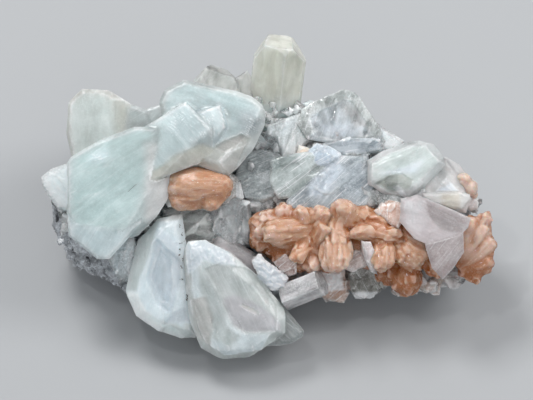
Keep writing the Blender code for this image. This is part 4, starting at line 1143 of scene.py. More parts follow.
def noise(points, seed):
    """Smooth noise from -1 to 1 at each row of points."""
    cell = np.floor(points).astype(np.int64)
    part = eased(points - cell)
    total = np.zeros(len(points))
    for corner in range(8):
        offset = np.array([corner & 1, corner >> 1 & 1, corner >> 2 & 1])
        value = hashed(cell + offset, seed) * 2 - 1
        total += value * np.prod(np.where(offset == 1, part, 1 - part), axis=1)
    return total


def layered_noise(points, octaves, seed):
    """Noise with finer and weaker layers added."""
    return sum(noise(points * OCTAVE_FINER ** k, seed + k) * OCTAVE_WEAKER ** k for k in range(octaves))


def facet_relief(local, size, stretch, slope, step, blur=FACET_BLUR):
    """The height of a surface broken into facets that lean differently, and the number of each one."""
    scale = np.array([size * stretch, size, size])
    places = local / scale
    cell = np.floor(places).astype(np.int64)
    nearest, second = np.full((2, len(local)), np.inf)
    mine, other = np.zeros((2, len(local), 2))
    for corner in np.ndindex(3, 3, 3):
        near = cell + np.array(corner) - 1
        away = places - (near + hashed_rows(near, SEED["facet_spot"]))
        room = (away * away).sum(axis=1)
        lean = hashed_rows(near, SEED["facet_lean"]) * 2 - 1
        level = (hashed(near, SEED["facet_level"]) * 2 - 1) * step
        facet = (away * scale * lean * np.array([1 / stretch, 1, 1])).sum(axis=1) * slope + level
        found = np.stack([facet, hashed(near, SEED["facet_number"])], axis=1)
        closer = room < nearest
        next_closer = (room >= nearest) & (room < second)
        other[closer], second[closer] = mine[closer], nearest[closer]
        other[next_closer], second[next_closer] = found[next_closer], room[next_closer]
        mine[closer], nearest[closer] = found[closer], room[closer]
    share = np.clip((np.sqrt(second) - np.sqrt(nearest)) / blur, 0, 1)[:, None] * 0.5 + 0.5
    return (mine * share + other * (1 - share)).T


def convex_mesh(planes):
    """The solid inside all the planes, each a point and an outward normal."""
    bm = bmesh.new()
    bmesh.ops.create_cube(bm, size=BLOCK)
    bmesh.ops.translate(bm, verts=bm.verts, vec=planes[0][0])
    for point, normal in planes:
        cut = bmesh.ops.bisect_plane(
            bm,
            geom=bm.verts[:] + bm.edges[:] + bm.faces[:],
            dist=ON_PLANE,
            plane_co=point,
            plane_no=normal,
            clear_outer=True,
        )
        rim = [item for item in cut["geom_cut"] if isinstance(item, bmesh.types.BMEdge)]
        if rim:
            bmesh.ops.edgeloop_fill(bm, edges=rim)
    bmesh.ops.recalc_face_normals(bm, faces=bm.faces)
    return bm


def one_mesh(name, parts):
    """Several bmeshes as one mesh, in millimetres."""
    mesh = bpy.data.meshes.new(name)
    whole = bmesh.new()
    for part in parts:
        part.to_mesh(mesh)
        part.free()
        whole.from_mesh(mesh)
    whole.to_mesh(mesh)
    whole.free()
    return mesh


def modified(name, mesh, kind, **settings):
    """A new mesh of the given name: what a modifier makes of the old one, which is removed."""
    helper = bpy.data.objects.new(name + "_helper", mesh)
    bpy.context.scene.collection.objects.link(helper)
    modifier = helper.modifiers.new(kind, kind)
    for setting, value in settings.items():
        setattr(modifier, setting, value)
    graph = bpy.context.evaluated_depsgraph_get()
    made = bpy.data.meshes.new_from_object(helper.evaluated_get(graph))
    bpy.data.objects.remove(helper)
    bpy.data.meshes.remove(mesh)
    made.name = name
    return made


def grown(node, mesh):
    """The mesh with its shapes grown together, as even small faces."""
    voxel = VOXEL.get(node, FINE_VOXEL)
    return modified(node + "_grown", mesh, "REMESH", mode="VOXEL", voxel_size=voxel)


def vertex_rows(mesh, field):
    """A vector of each of the mesh's vertices, as rows of three."""
    flat = np.zeros(len(mesh.vertices) * 3)
    mesh.vertices.foreach_get(field, flat)
    return flat.reshape(-1, 3)


def points_of(mesh):
    """Where the mesh's vertices are."""
    return vertex_rows(mesh, "co")


def normals_of(mesh):
    """The mesh's vertex normals."""
    return vertex_rows(mesh, "normal")


def set_points(mesh, points):
    """Moves the mesh's vertices to the given places."""
    mesh.vertices.foreach_set("co", points.astype(np.float32).ravel())
    mesh.update()


def push_out(mesh, heights):
    """Moves each vertex outward by its height."""
    set_points(mesh, points_of(mesh) + normals_of(mesh) * heights[:, None])


def fill_creases(mesh, rounds, amount):
    """Raises the hollows where shapes meet, which makes them look grown together."""
    push_out(mesh, np.clip(hollows(mesh, rounds), 0, None) * amount)


def set_attribute(mesh, name, rows, kind="FLOAT"):
    """Values for each vertex, which the surface reads by name."""
    field = {"FLOAT": "value", "FLOAT_VECTOR": "vector", "FLOAT_COLOR": "color"}[kind]
    data = mesh.attributes.new(name, kind, "POINT").data
    data.foreach_set(field, rows.astype(np.float32).ravel())


def finished(name, mesh, node, slot, surface):
    """The mesh as a piece of the object, in metres inside the CAD model's box, in place of its CAD node."""
    if len(mesh.polygons) > THINNED_ABOVE:
        mesh = modified(mesh.name, mesh, "DECIMATE", ratio=KEPT_SHARES.get(name, KEPT_SHARE))
    low, high = (np.array(corner) for corner in CAD_BOX)
    set_points(mesh, np.clip(points_of(mesh) * MM, low, high))
    mesh.shade_smooth()
    mesh.materials.clear()
    mesh.materials.append(surface)
    piece = bpy.data.objects.new(name, mesh)
    bpy.context.scene.collection.objects.link(piece)
    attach(piece, "root")
    if node:
        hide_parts(node)
    return piece


def pale_piece(node, crystals, surface, slot, replaces=True):
    """A group of pale crystals with growth steps, striations and pits."""
    parts = [convex_mesh(planes) for crystal in crystals for planes in crystal.layers()]
    mesh = grown(node, one_mesh(node, parts))
    if node in GROWN_TOGETHER:
        fill_creases(mesh, CREASE_ROUNDS, GROWN_TOGETHER[node])
    points = points_of(mesh)
    owner = np.abs([crystal.distance(points) for crystal in crystals]).argmin(axis=0)
    local = np.zeros_like(points)
    tints = np.zeros_like(points)
    clear = np.zeros(len(points))
    relief = np.zeros(len(points))
    frost = np.zeros(len(points))
    waver = layered_noise(points / WAVER_SIZE, 2, SEED["waver"])
    for number, crystal in enumerate(crystals):
        mine = owner == number
        offset = points[mine] - np.array(crystal.middle)
        axes = np.array([tuple(crystal.along), tuple(crystal.across), tuple(crystal.out)])
        local[mine] = offset @ axes.T + number * PALE_GRAIN_APART
        tints[mine], clear[mine], inset = crystal.look(points[mine], waver[mine] * ZONE_WAVER)
        climb = np.clip(inset + waver[mine] * STEP_WAVER, 0, STEP_REACH) / STEP_RUN
        wall = np.clip((climb - np.floor(climb)) * STEP_STEEPNESS - (STEP_STEEPNESS - 1), 0, 1)
        relief[mine] = (np.floor(climb) + wall) * STEP_RISE
    spots = face_places(points)
    bend = np.stack([waver, layered_noise(points / WAVER_SIZE, 2, SEED["bend"])], axis=1)
    bent = spots + bend * PATCH_WAVER
    facing = normals_of(mesh) @ np.array(OUT) > PATCH_FACING
    for area in PATCHES.get(node, ()):
        mine = np.flatnonzero((owner == area.crystal) & facing)
        share = area.share(bent[mine])
        relief[mine] += area.height * share
        if area.ridges:
            uneven = 0.5 + layered_noise(points[mine] / RIDGE_PATCHES, 2, SEED["ridges"])
            ridges = area.ridge_height(spots[mine], waver[mine] * RIDGE_WAVER)
            relief[mine] += ridges * share * np.clip(uneven, *RIDGE_STRENGTH)
        if area.tint:
            tints[mine] += (np.array(area.tint) - tints[mine]) * share[:, None]
        if area.clear is not None:
            clear[mine] += (area.clear - clear[mine]) * share
        frost[mine] = np.maximum(frost[mine], area.frost * share)
    swell = layered_noise(points / SWELL_SIZE, 2, SEED["swell"]) * SWELL
    striae = sum(noise(local * np.array(fineness), seed) * height for fineness, seed, height in STRIAE)
    blur = GLASS_BLUR if slot == "glassy_plate" else FACET_BLUR
    facets, facet = facet_relief(local + waver[:, None] * FACET_WAVER, *FACETS.get(node, BACK_FACETS), blur)
    pits = np.clip(noise(points * PIT_FINENESS, SEED["pits"]) - PIT_RARITY, 0, 1) * PIT_DEPTH
    blocks = facet_relief(points, *FROST_FACETS)[0] * FROST_RELIEF
    relief += swell + striae + facets - pits + frost * blocks - PALE_SUNK
    push_out(mesh, relief)
    # How much each vertex stands out as a ridge; the surface paints ridges paler, as a painted highlight.
    edge = np.clip((-hollows(mesh, EDGE_ROUNDS) - EDGE_LEAST) / EDGE_RANGE, 0, 1)
    looks = shared_out(mesh, np.column_stack([tints, clear, frost]), BLENDED.get(node, 1))
    set_attribute(mesh, "tint", np.column_stack([looks[:, :3], np.ones(len(looks))]), "FLOAT_COLOR")
    set_attribute(mesh, "grain", local, "FLOAT_VECTOR")
    set_attribute(mesh, "clear", looks[:, 3])
    set_attribute(mesh, "edge", edge)
    set_attribute(mesh, "facet", facet)
    set_attribute(mesh, "frost", np.clip(looks[:, 4] * FROST_GAIN, 0, 1))
    return finished(node + "_crystals", mesh, node if replaces else None, slot, surface)


def shared_out(mesh, rows, rounds):
    """A row of values for each vertex after each takes the mean of its neighbours' a few times."""
    pairs = np.zeros(len(mesh.edges) * 2, np.int32)
    mesh.edges.foreach_get("vertices", pairs)
    first, second = pairs.reshape(-1, 2).T
    count = len(rows)
    touching = np.bincount(first, minlength=count) + np.bincount(second, minlength=count)
    for _ in range(rounds):
        total = [np.bincount(first, axis[second], count) + np.bincount(second, axis[first], count)
                 for axis in rows.T]
        rows = np.stack(total, axis=1) / touching[:, None]
    return rows


def smoothed(mesh, rounds):
    """The places of the mesh's vertices after each is moved to the mean of its neighbours a few times."""
    return shared_out(mesh, points_of(mesh), rounds)


def hollows(mesh, rounds):
    """How far each vertex lies below its smoothed surroundings, in millimetres."""
    return ((smoothed(mesh, rounds) - points_of(mesh)) * normals_of(mesh)).sum(axis=1)


def fillers(random):
    """Small plates at all angles between the large crystals."""
    crystals = []
    for outline, level, count, least, greatest, looks in FILLED_AREAS:
        corners = np.array(outline)
        low, high = corners.min(axis=0), corners.max(axis=0)
        placed = 0
        while placed < count:
            spot = random.uniform(low, high)
            if inside_distance(outline, spot[None])[0] < 0:
                continue
            placed += 1
            radius = least + (greatest - least) * random.random() ** FILLER_SIZE_POWER
            sides = int(random.integers(*FILLER_SIDES))
            start = random.uniform(0, ABOUT_A_TURN)
            narrow = random.uniform(FILLER_NARROWEST, 1.0)
            turn = random.uniform(0, ABOUT_A_TURN)
            ring = []
            for side in range(sides):
                angle = start + ABOUT_A_TURN * (side + random.uniform(-FILLER_STRAY, FILLER_STRAY)) / sides
                a = radius * math.cos(angle)
                b = radius * narrow * math.sin(angle)
                ring.append((spot[0] + a * math.cos(turn) - b * math.sin(turn),
                             spot[1] + a * math.sin(turn) + b * math.cos(turn)))
            lean = tuple(random.uniform(-FILLER_LEAN, FILLER_LEAN, 2))
            tint, clear = looks[int(random.integers(len(looks)))]
            out = level + random.uniform(*FILLER_LEVELS)
            crystals.append(plate(ring, out, lean, FILLER_THICK, FILLER_RIM, tint=tint, clear=clear,
                                  grain=random.uniform(0, 180)))
    return crystals + list(SIDE_PLATES)


def surface_place(pieces, across, up):
    """The foremost place of the pieces' surfaces at a place of the face, in millimetres."""
    best = -np.inf
    for piece in pieces:
        points = points_of(piece.data) / MM
        near = np.hypot(*(face_places(points) - (across, up)).T) < SURFACE_REACH
        if near.any():
            best = max(best, face_levels(points)[near].max())
    return on_face(across, up, best)


def speck_piece(pieces, surface, random):
    """A thin dark needle and dark specks that lie on the blades."""
    whole = bmesh.new()
    rods = [(surface_place(pieces, *NEEDLE[0]), surface_place(pieces, *NEEDLE[1]), NEEDLE_WIDTH)]
    for across, up in SPECKS * SPECKS_PER_PLACE:
        across, up = (place + random.normal(0, stray) for place, stray in zip((across, up), SPECK_STRAY))
        place = surface_place(pieces, across, up)
        aside, along = (random.uniform(-reach, reach) for reach in SPECK_REACH)
        stretch = RIGHT * aside + UP_FACE * along
        rods.append((place - stretch, place + stretch, random.uniform(*SPECK_WIDTHS)))
    for start, end, width in rods:
        turn = (end - start).to_track_quat("Z", "Y").to_matrix().to_4x4()
        made = bmesh.ops.create_cone(whole, cap_ends=True, segments=6, radius1=width / 2, radius2=width / 3,
                                     depth=(end - start).length + width)
        turn.translation = (start + end) / 2
        bmesh.ops.transform(whole, matrix=turn, verts=made["verts"])
    mesh = bpy.data.meshes.new("specks")
    whole.to_mesh(mesh)
    whole.free()
    return finished("dark_specks", mesh, None, "grey_rock", surface)


def peach_piece(node, shapes, surface, random):
    """A group of peach sheaves with their silky ribs."""
    sheaves = [shape for shape in shapes if isinstance(shape, Sheaf)]
    parts = [shape.mesh() for shape in shapes if isinstance(shape, Lump)]
    parts += [leaf for sheaf in sheaves for leaf in sheaf.meshes(random)]
    mesh = grown(node, one_mesh(node, parts))
    set_points(mesh, smoothed(mesh, PEACH_SMOOTHED))
    fill_creases(mesh, PEACH_CREASE_ROUNDS, PEACH_FILLED)
    points, normals = points_of(mesh), normals_of(mesh)
    owner = np.array([sheaf.distance(points) for sheaf in sheaves]).argmin(axis=0)
    local = np.zeros_like(points)
    tone = np.zeros(len(points))
    way = np.zeros(len(points))
    for number, sheaf in enumerate(sheaves):
        mine = owner == number
        share, across, deep = sheaf.local(points[mine])
        fan = FAN_ROOT + FAN_OPENING * np.clip(share, 0, FAN_END)
        rows = np.stack([share * sheaf.length, across / fan, deep / fan], axis=1)
        local[mine] = rows + number * PEACH_GRAIN_APART
        way[mine] = np.clip(share, 0, 1)
        tone[mine] = way[mine] * TONE_BY_WAY + sheaf.pale * TONE_BY_SHEAF
    ribs = noise(local * np.array(FINE_RIBS), SEED["fine_ribs"]) * FINE_RIB_HEIGHT
    ribs += layered_noise(local * np.array(RIBS), 2, SEED["ribs"]) * RIB_HEIGHT
    facets, facet = facet_relief(local, *PEACH_FACETS[node], PEACH_BLUR)
    chips = np.round(noise(local * CHIP_FINENESS, SEED["chips"]) * CHIP_LEVELS) * CHIP_HEIGHT
    chips = chips * np.clip(way * CHIP_ONSET[0] - CHIP_ONSET[1], 0, 1)
    push_out(mesh, ribs + facets + chips - PEACH_SUNK)
    set_points(mesh, smoothed(mesh, 1))
    tone += (facet - 0.5) * TONE_BY_FACET
    for outline in PALE_BANDS.get(node, ()):
        band = np.clip(inside_distance(outline, face_places(points)) / BAND_BLUR + 0.5, 0, 1)
        band = band * (normals @ np.array(OUT) > BAND_FACING)
        tone += (1.0 - tone) * band * BAND_SHARE
    set_attribute(mesh, "grain", local, "FLOAT_VECTOR")
    set_attribute(mesh, "tone", tone)
    # Narrow hollows, which the surface paints darker as painted shade, and ridges, which it paints paler as a
    # painted highlight.
    set_attribute(mesh, "dip", hollows(mesh, DIP_ROUNDS))
    # Low places and wide hollows are painted darker: painted shade.
    below = np.clip((PEACH_SHADE_LEVEL[node] - face_levels(points)) / DEEP_BLUR, 0, 1)
    hollow = np.clip(hollows(mesh, DEEP_ROUNDS) * DEEP_GAIN, 0, 1)
    set_attribute(mesh, "deep", below + hollow)
    return finished(node + "_silk", mesh, node, "peach_stilbite", surface)


def rock_piece(surface):
    """The rock, with a craggy surface, from the CAD rock's own shape."""
    mesh = frame["nodes"]["matrix_rock"].data.copy()
    set_points(mesh, points_of(mesh) / MM)
    mesh = grown("matrix_rock", mesh)
    points = points_of(mesh)
    crags = layered_noise(points / CRAG_SIZE, 4, SEED["crags"]) * CRAG_HEIGHT
    steps = layered_noise(points / ROCK_STEP_SIZE, 2, SEED["rock_steps"])
    cells = np.round(steps * ROCK_STEPS) * ROCK_STEP_HEIGHT
    above = np.clip(points[:, 2] / ROCK_FOOT, 0, 1)
    push_out(mesh, (crags + cells - ROCK_SUNK) * above)
    # The rock's hollows, which the surface paints near black as painted shade.
    set_attribute(mesh, "dip", hollows(mesh, ROCK_DIP_ROUNDS))
    return finished("matrix_rock_stone", mesh, "matrix_rock", "grey_rock", surface)


def small_crystal(random):
    """A blunt crystal up to 1 mm high with unlike faces, standing on the origin along +Z."""
    tilt = math.radians(random.uniform(35, 60))
    planes = [(Vector((0, 0, -0.6)), Vector((0, 0, -1)))]
    sides = int(random.integers(4, 7))
    for side in range(sides):
        angle = 2 * math.pi * (side + random.uniform(-0.2, 0.2)) / sides
        outward = Vector((math.cos(angle), math.sin(angle), 0))
        planes.append((outward * random.uniform(0.28, 0.5), outward))
        cap = (outward * math.sin(tilt) + Vector((0, 0, math.cos(tilt)))).normalized()
        planes.append((Vector((0, 0, random.uniform(0.7, 1.0))), cap))
    return convex_mesh(planes)


def druse_piece(stone, surface, random):
    """Many small grey crystals on the rock where no large crystal covers it."""
    shapes = []
    for kind in [small_crystal(random) for _ in range(DRUSE_KINDS)]:
        kind.verts.ensure_lookup_table()
        corners = np.array([tuple(vert.co) for vert in kind.verts])
        faces = [[vert.index for vert in face.verts] for face in kind.faces]
        shapes.append((corners, faces))
        kind.free()
    points = points_of(stone.data) / MM
    normals = normals_of(stone.data)
    covered = np.full(len(points), np.inf)
    for crystals in PALE_GROUPS.values():
        for crystal in crystals:
            covered = np.minimum(covered, crystal.distance(points))
    bare = np.flatnonzero((covered > DRUSE_COVERED) & (points[:, 2] > DRUSE_LOWEST))
    patchy = layered_noise(points[bare] / DRUSE_PATCHES, 2, SEED["druse"])
    chosen = bare[patchy > DRUSE_BARE]
    chosen = random.choice(chosen, size=min(DRUSE_CRYSTALS, len(chosen)), replace=False)
    all_corners, all_faces, start = [], [], 0
    for spot in chosen:
        corners, faces = shapes[int(random.integers(len(shapes)))]
        size = DRUSE_LEAST + DRUSE_RANGE * random.random() ** 3
        direction = Vector(normals[spot]) + Vector(random.uniform(-DRUSE_LEAN, DRUSE_LEAN, 3))
        spin = Euler((0, 0, random.uniform(0, ABOUT_A_TURN))).to_matrix()
        turn = direction.to_track_quat("Z", "Y").to_matrix() @ spin
        stretch = np.array([random.uniform(DRUSE_SHRINK, longest) for longest in DRUSE_STRETCH])
        all_corners.append((corners * size * stretch) @ np.array(turn).T + points[spot])
        all_faces += [[start + index for index in face] for face in faces]
        start += len(corners)
    mesh = bpy.data.meshes.new("druse")
    mesh.from_pydata(np.concatenate(all_corners).tolist(), [], all_faces)
    mesh.update()
    piece = finished("rock_druse", mesh, None, "grey_rock", surface)
    piece.data.shade_flat()
    return piece


def node_of(tree, kind, **values):
    """A shader node with its properties set."""
    made = tree.nodes.new(kind)
    for name, value in values.items():
        setattr(made, name, value)
    return made


def set_inputs(node, values):
    """Sets a shader node's inputs: to a socket's value or to a fixed one."""
    for name, value in values.items():
        if isinstance(value, bpy.types.NodeSocket):
            node.id_data.links.new(value, node.inputs[name])
        else:
            node.inputs[name].default_value = value


def attribute(tree, name, output="Fac"):
    """What a mesh carries under a name at each of its vertices."""
    return node_of(tree, "ShaderNodeAttribute", attribute_name=name).outputs[output]


def noise_node(tree, vector, scale, detail=3.0, roughness=0.5, distortion=0.0):
    """A noise texture on the given coordinates."""
    made = node_of(tree, "ShaderNodeTexNoise")
    set_inputs(made, {"Scale": scale, "Detail": detail, "Roughness": roughness, "Distortion": distortion,
                      "Vector": vector})
    return made.outputs["Fac"]


def stretched(tree, vector, scale):
    """Coordinates scaled by three factors."""
    made = node_of(tree, "ShaderNodeMapping")
    set_inputs(made, {"Scale": scale, "Vector": vector})
    return made.outputs["Vector"]


def ranged(tree, value, low, high, start=0.3, stop=0.7):
    """A value mapped from start..stop to low..high."""
    made = node_of(tree, "ShaderNodeMapRange")
    set_inputs(made, {"From Min": start, "From Max": stop, "To Min": low, "To Max": high, "Value": value})
    return made.outputs["Result"]


def mixed(tree, factor, first, second):
    """Two colours mixed by a factor. A colour is a socket or three numbers."""
    made = node_of(tree, "ShaderNodeMix", data_type="RGBA")
    colours = {}
    for place, colour in zip(MIX_COLOURS, (first, second)):
        colours[place] = (*colour, 1) if isinstance(colour, tuple) else colour
    set_inputs(made, {0: factor, **colours})
    return made.outputs[2]


def calculated(tree, operation, first, second):
    """A sum or product of a socket and a socket or number."""
    made = node_of(tree, "ShaderNodeMath", operation=operation)
    set_inputs(made, {0: first, 1: second})
    return made.outputs[0]


def summed(tree, *terms):
    """The sum of sockets and numbers, of which the first is a socket."""
    total = terms[0]
    for term in terms[1:]:
        total = calculated(tree, "ADD", total, term)
    return total


def multiplied(tree, first, second):
    """The product of a socket and a socket or number."""
    return calculated(tree, "MULTIPLY", first, second)


def clamped(tree, value, low, high):
    """A value kept between two limits."""
    made = node_of(tree, "ShaderNodeClamp")
    set_inputs(made, {"Min": low, "Max": high, "Value": value})
    return made.outputs["Result"]


def bumped(tree, height, strength, distance_mm):
    """A bump from a height."""
    made = node_of(tree, "ShaderNodeBump")
    set_inputs(made, {"Strength": strength, "Distance": distance_mm * MM, "Height": height})
    return made.outputs["Normal"]


def painted(tree, body, layers):
    """A colour with layers over it, each a factor and a colour."""
    for factor, colour in layers:
        body = mixed(tree, factor, body, colour)
    return body


def new_surface(name):
    """A material with its node tree, its Principled shader and its object coordinates in millimetres."""
    made = bpy.data.materials.new(name)
    made.use_nodes = True
    tree = made.node_tree
    coordinates = node_of(tree, "ShaderNodeTexCoord").outputs["Object"]
    return made, tree, tree.nodes["Principled BSDF"], stretched(tree, coordinates, (1 / MM,) * 3)


def pale_surface(name, rough, cloudy, depth_mm, clearer, grainy):
    """Zeolite: milky to clear, glossy, with cloudy veils, fine growth lines along each crystal's grain and a
    painted highlight along its ridges.
    """
    made, tree, shader, place = new_surface(name)
    tint = attribute(tree, "tint", "Color")
    grain = attribute(tree, "grain", "Vector")
    clear = attribute(tree, "clear")
    edge = attribute(tree, "edge")
    frost = attribute(tree, "frost")
    facet = attribute(tree, "facet")
    clouds = noise_node(tree, place, 0.12, 4.0, 0.6)
    wisps = noise_node(tree, stretched(tree, grain, (0.10, 0.28, 0.28)), 1.0, 4.0, 0.55, 0.6)
    lines = noise_node(tree, stretched(tree, grain, (0.10, 2.6, 2.6)), 1.0, 3.0, 0.6)
    streaks = noise_node(tree, stretched(tree, grain, (0.16, 1.3, 1.3)), 1.0, 4.0, 0.6, 0.5)
    threads = noise_node(tree, stretched(tree, grain, (0.09, 2.8, 1.2)), 1.0, 2.0)
    dust = noise_node(tree, place, 1.2, 5.0, 0.75)
    cracks = node_of(tree, "ShaderNodeTexVoronoi", feature="DISTANCE_TO_EDGE")
    set_inputs(cracks, {"Scale": 1.0, "Vector": stretched(tree, grain, (0.11, 0.24, 0.24))})
    crack = ranged(tree, cracks.outputs["Distance"], 1.0, 0.0, 0.0, 0.04)
    crack = multiplied(tree, crack, ranged(tree, clear, 0.0, 0.5, 0.38, 0.55))
    frosted = ranged(tree, noise_node(tree, place, 0.10, 3.0, 0.6), 0.25, 1.0, 0.42, 0.6)
    grains = ranged(tree, noise_node(tree, place, 1.6, 5.0, 0.75), 0.0, 1.0, 0.46, 0.66)
    grains = multiplied(tree, frosted, grains)
    pale = mixed(tree, 0.7, tint, VEIL_COLOUR)
    body = painted(tree, tint, (
        (ranged(tree, clear, 0.0, 0.75, 0.1, 0.7), pale),
        (ranged(tree, clouds, 0.0, cloudy), pale),
        (ranged(tree, wisps, 0.0, cloudy, 0.48, 0.75), pale),
        (ranged(tree, streaks, 0.0, cloudy, 0.52, 0.7), pale),
        (multiplied(tree, ranged(tree, threads, 0.0, 2.2, 0.60, 0.68), grainy), THREAD_COLOUR),
        # Ridges painted paler: a painted highlight where they catch the light.
        (multiplied(tree, edge, 0.6), RIDGE_HIGHLIGHT_COLOUR),
        (multiplied(tree, frost, 0.3), FROST_COLOUR),
        (multiplied(tree, grains, grainy), GRAIN_COLOUR),
    ))
    bright = multiplied(tree, summed(tree, edge, frost, crack), -0.2)
    by_facet = multiplied(tree, ranged(tree, facet, -0.8, 0.8, 0.0, 1.0), clear)
    haze = summed(
        tree,
        ranged(tree, clouds, cloudy * 0.3, cloudy * -0.3),
        multiplied(tree, grains, -grainy),
        ranged(tree, wisps, cloudy * 0.4, cloudy * -0.5),
        bright,
        by_facet,
    )
    seen = summed(tree, summed(tree, clear, clearer), haze)
    patches = ranged(tree, noise_node(tree, place, 0.22), rough * 0.6, rough * 1.7)
    cells = node_of(tree, "ShaderNodeTexVoronoi")
    set_inputs(cells, {"Scale": 1.5, "Vector": place})
    glinting = ranged(tree, noise_node(tree, place, 0.35, 2.0), 0.0, 0.5, 0.56, 0.70)
    flakes = multiplied(tree, cells.outputs["Color"], summed(tree, multiplied(tree, frost, 2.0), glinting))
    height = summed(tree, lines, multiplied(tree, dust, 0.5), multiplied(tree, flakes, 4.0))
    set_inputs(shader, {
        "Base Color": body,
        "Transmission Weight": clamped(tree, seen, 0.0, 0.95),
        "Roughness": summed(tree, patches, multiplied(tree, edge, 0.1)),
        "Normal": bumped(tree, height, 0.3, 0.10),
        "IOR": MINERAL_IOR,
        "Subsurface Weight": 1.0,
        "Subsurface Radius": (1.0, 1.1, 1.1),
        "Subsurface Scale": depth_mm * MM,
    })
    return made


def peach_surface():
    """Stilbite: silky peach, paler at its tips, with deep orange painted shade in its gaps and low places and
    a painted highlight on its ridges.
    """
    made, tree, shader, place = new_surface("peach_stilbite_silk")
    grain = attribute(tree, "grain", "Vector")
    tone = attribute(tree, "tone")
    dip = attribute(tree, "dip")
    deep = attribute(tree, "deep")
    fibres = noise_node(tree, stretched(tree, grain, (0.10, 2.0, 2.0)), 1.0, 3.0, 0.55)
    clouds = noise_node(tree, place, 0.25, 4.0, 0.65)
    specks = noise_node(tree, place, 1.3, 3.0, 0.6)
    glints = noise_node(tree, stretched(tree, grain, (0.7, 1.9, 1.9)), 1.0, 2.0)
    body = painted(tree, PEACH_ROOT, (
        (ranged(tree, tone, 0.0, 1.0, 0.08, 0.5), PEACH_MIDDLE_TONE),
        (ranged(tree, tone, 0.0, 0.95, 0.55, 1.05), PEACH_TIP),
        (ranged(tree, clouds, 0.0, 0.45), PEACH_CLOUD),
        (ranged(tree, fibres, 0.0, 0.35, 0.4, 0.75), PEACH_FIBRE),
        # Painted shade on low places and wide hollows.
        (ranged(tree, deep, 0.0, 0.97, 0.1, 1.0), PEACH_LOW_SHADE),
        # Painted shade in narrow gaps and a painted highlight on ridges.
        (ranged(tree, dip, 0.0, 0.8, 0.0, 0.22), PEACH_GAP_SHADE),
        (ranged(tree, dip, 0.6, 0.0, -0.25, -0.02), PEACH_RIDGE_HIGHLIGHT),
        (ranged(tree, specks, 0.0, 0.2, 0.55, 0.7), PEACH_SPECK),
        (ranged(tree, glints, 0.0, 0.9, 0.68, 0.74), PEACH_GLINT),
    ))
    height = summed(tree, fibres, multiplied(tree, specks, 1.2))
    shiny = ranged(tree, fibres, 0.05, 0.15)
    set_inputs(shader, {
        "Base Color": body,
        "Roughness": summed(tree, shiny, ranged(tree, specks, 0.16, 0.0, 0.4, 0.62)),
        "Normal": bumped(tree, height, 0.6, 0.12),
        "Transmission Weight": 0.10,
        "Subsurface Weight": 1.0,
        "Subsurface Radius": (1.0, 0.55, 0.35),
        "Subsurface Scale": 2.2 * MM,
        "IOR": MINERAL_IOR,
    })
    return made


def speck_surface():
    """Dark brown specks."""
    made, tree, shader, place = new_surface("dark_speck")
    body = mixed(tree, noise_node(tree, place, 2.0), (0.02, 0.018, 0.015), (0.09, 0.07, 0.05))
    set_inputs(shader, {"Base Color": body, "Roughness": 0.4})
    return made


def rock_surface():
    """Rock: grey with pale crusts, and near black painted shade in its hollows."""
    made, tree, shader, place = new_surface("grey_rock_crust")
    dip = attribute(tree, "dip")
    grains = noise_node(tree, place, 0.9, 5.0, 0.7)
    patches = noise_node(tree, place, 0.16, 4.0, 0.6)
    body = painted(tree, ROCK_DARK, (
        (ranged(tree, patches, 0.0, 1.0), ROCK_PALE),
        (ranged(tree, grains, 0.0, 0.9, 0.45, 0.62), ROCK_CRUST),
        # Painted shade: hollows painted near black.
        (ranged(tree, dip, 0.0, 0.95, 0.03, 0.35), ROCK_HOLLOW_SHADE),
    ))
    rough = ranged(tree, grains, 0.35, 0.8)
    set_inputs(shader, {"Base Color": body, "Roughness": rough, "Normal": bumped(tree, grains, 0.8, 0.5)})
    return made


def druse_surface():
    """Small grey crystals: glossy and half clear."""
    made, tree, shader, place = new_surface("grey_druse")
    patches = noise_node(tree, place, 0.2, 3.0, 0.6)
    set_inputs(shader, {
        "Base Color": mixed(tree, ranged(tree, patches, 0.0, 1.0, 0.42, 0.6), DRUSE_DARK, DRUSE_PALE),
        "Roughness": ranged(tree, noise_node(tree, place, 1.4), 0.08, 0.35),
        "Transmission Weight": 0.4,
        "IOR": MINERAL_IOR,
    })
    return made


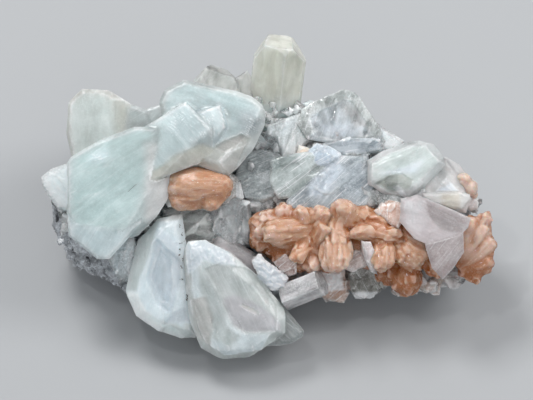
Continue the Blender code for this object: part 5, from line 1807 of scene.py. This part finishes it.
def floor_and_light():
    """A plain pale floor, a soft grey surround and soft lamps."""
    bpy.ops.mesh.primitive_plane_add(size=FLOOR_SIZE)
    floor = bpy.context.object
    floor.name = "floor"
    plain = bpy.data.materials.new("floor_plain")
    plain.use_nodes = True
    set_inputs(plain.node_tree.nodes["Principled BSDF"], {"Base Color": FLOOR_COLOUR, "Roughness": 0.9})
    floor.data.materials.append(plain)
    world = bpy.data.worlds.new("studio")
    world.use_nodes = True
    set_inputs(world.node_tree.nodes["Background"], {"Color": SKY_COLOUR, "Strength": SKY_STRENGTH})
    bpy.context.scene.world = world
    for name, place, size, power in LAMPS:
        lamp = bpy.data.lights.new(name, "AREA")
        lamp.size = size
        lamp.energy = power
        holder = bpy.data.objects.new(name, lamp)
        holder.location = place
        holder.rotation_euler = Vector(place).to_track_quat("Z", "Y").to_euler()
        bpy.context.scene.collection.objects.link(holder)
    bpy.context.scene.view_settings.view_transform = "Standard"


def camera():
    """A long lens at the photograph's angle, which takes in the photograph's width."""
    lens = bpy.data.cameras.new("camera")
    lens.sensor_width = SENSOR_MM
    lens.lens = SENSOR_MM * CAMERA_DISTANCE / (PHOTO_WIDTH * PIXEL_MM * MM)
    lens.clip_start, lens.clip_end = CAMERA_CLIP
    holder = bpy.data.objects.new("camera", lens)
    holder.location = on_face(*PHOTO_MIDDLE) * MM + OUT * CAMERA_DISTANCE
    holder.rotation_euler = OUT.to_track_quat("Z", "Y").to_euler()
    bpy.context.scene.collection.objects.link(holder)
    bpy.context.scene.camera = holder


def main():
    """Makes the camera, the stage and every piece, in an order that the shared random numbers depend on."""
    camera()
    floor_and_light()
    random = np.random.default_rng(RANDOM_SEED)
    looks = {slot: pale_surface(slot + "_surface", *values) for slot, values in PALE_LOOKS.items()}
    slots = {row["node"]: row["material_slot"] for row in frame["record"]["subparts"]}
    blades = [
        pale_piece(node, crystals, looks[slots[node]], slots[node])
        for node, crystals in PALE_GROUPS.items()
    ]
    speck_piece(blades[:SPECKED_GROUPS], speck_surface(), random)
    pale_piece("small_crystals", fillers(random), looks["glassy_plate"], "glassy_plate", replaces=False)
    silk = peach_surface()
    for node, shapes in PEACH_GROUPS.items():
        peach_piece(node, shapes, silk, random)
    stone = rock_piece(rock_surface())
    druse_piece(stone, druse_surface(), random)


main()
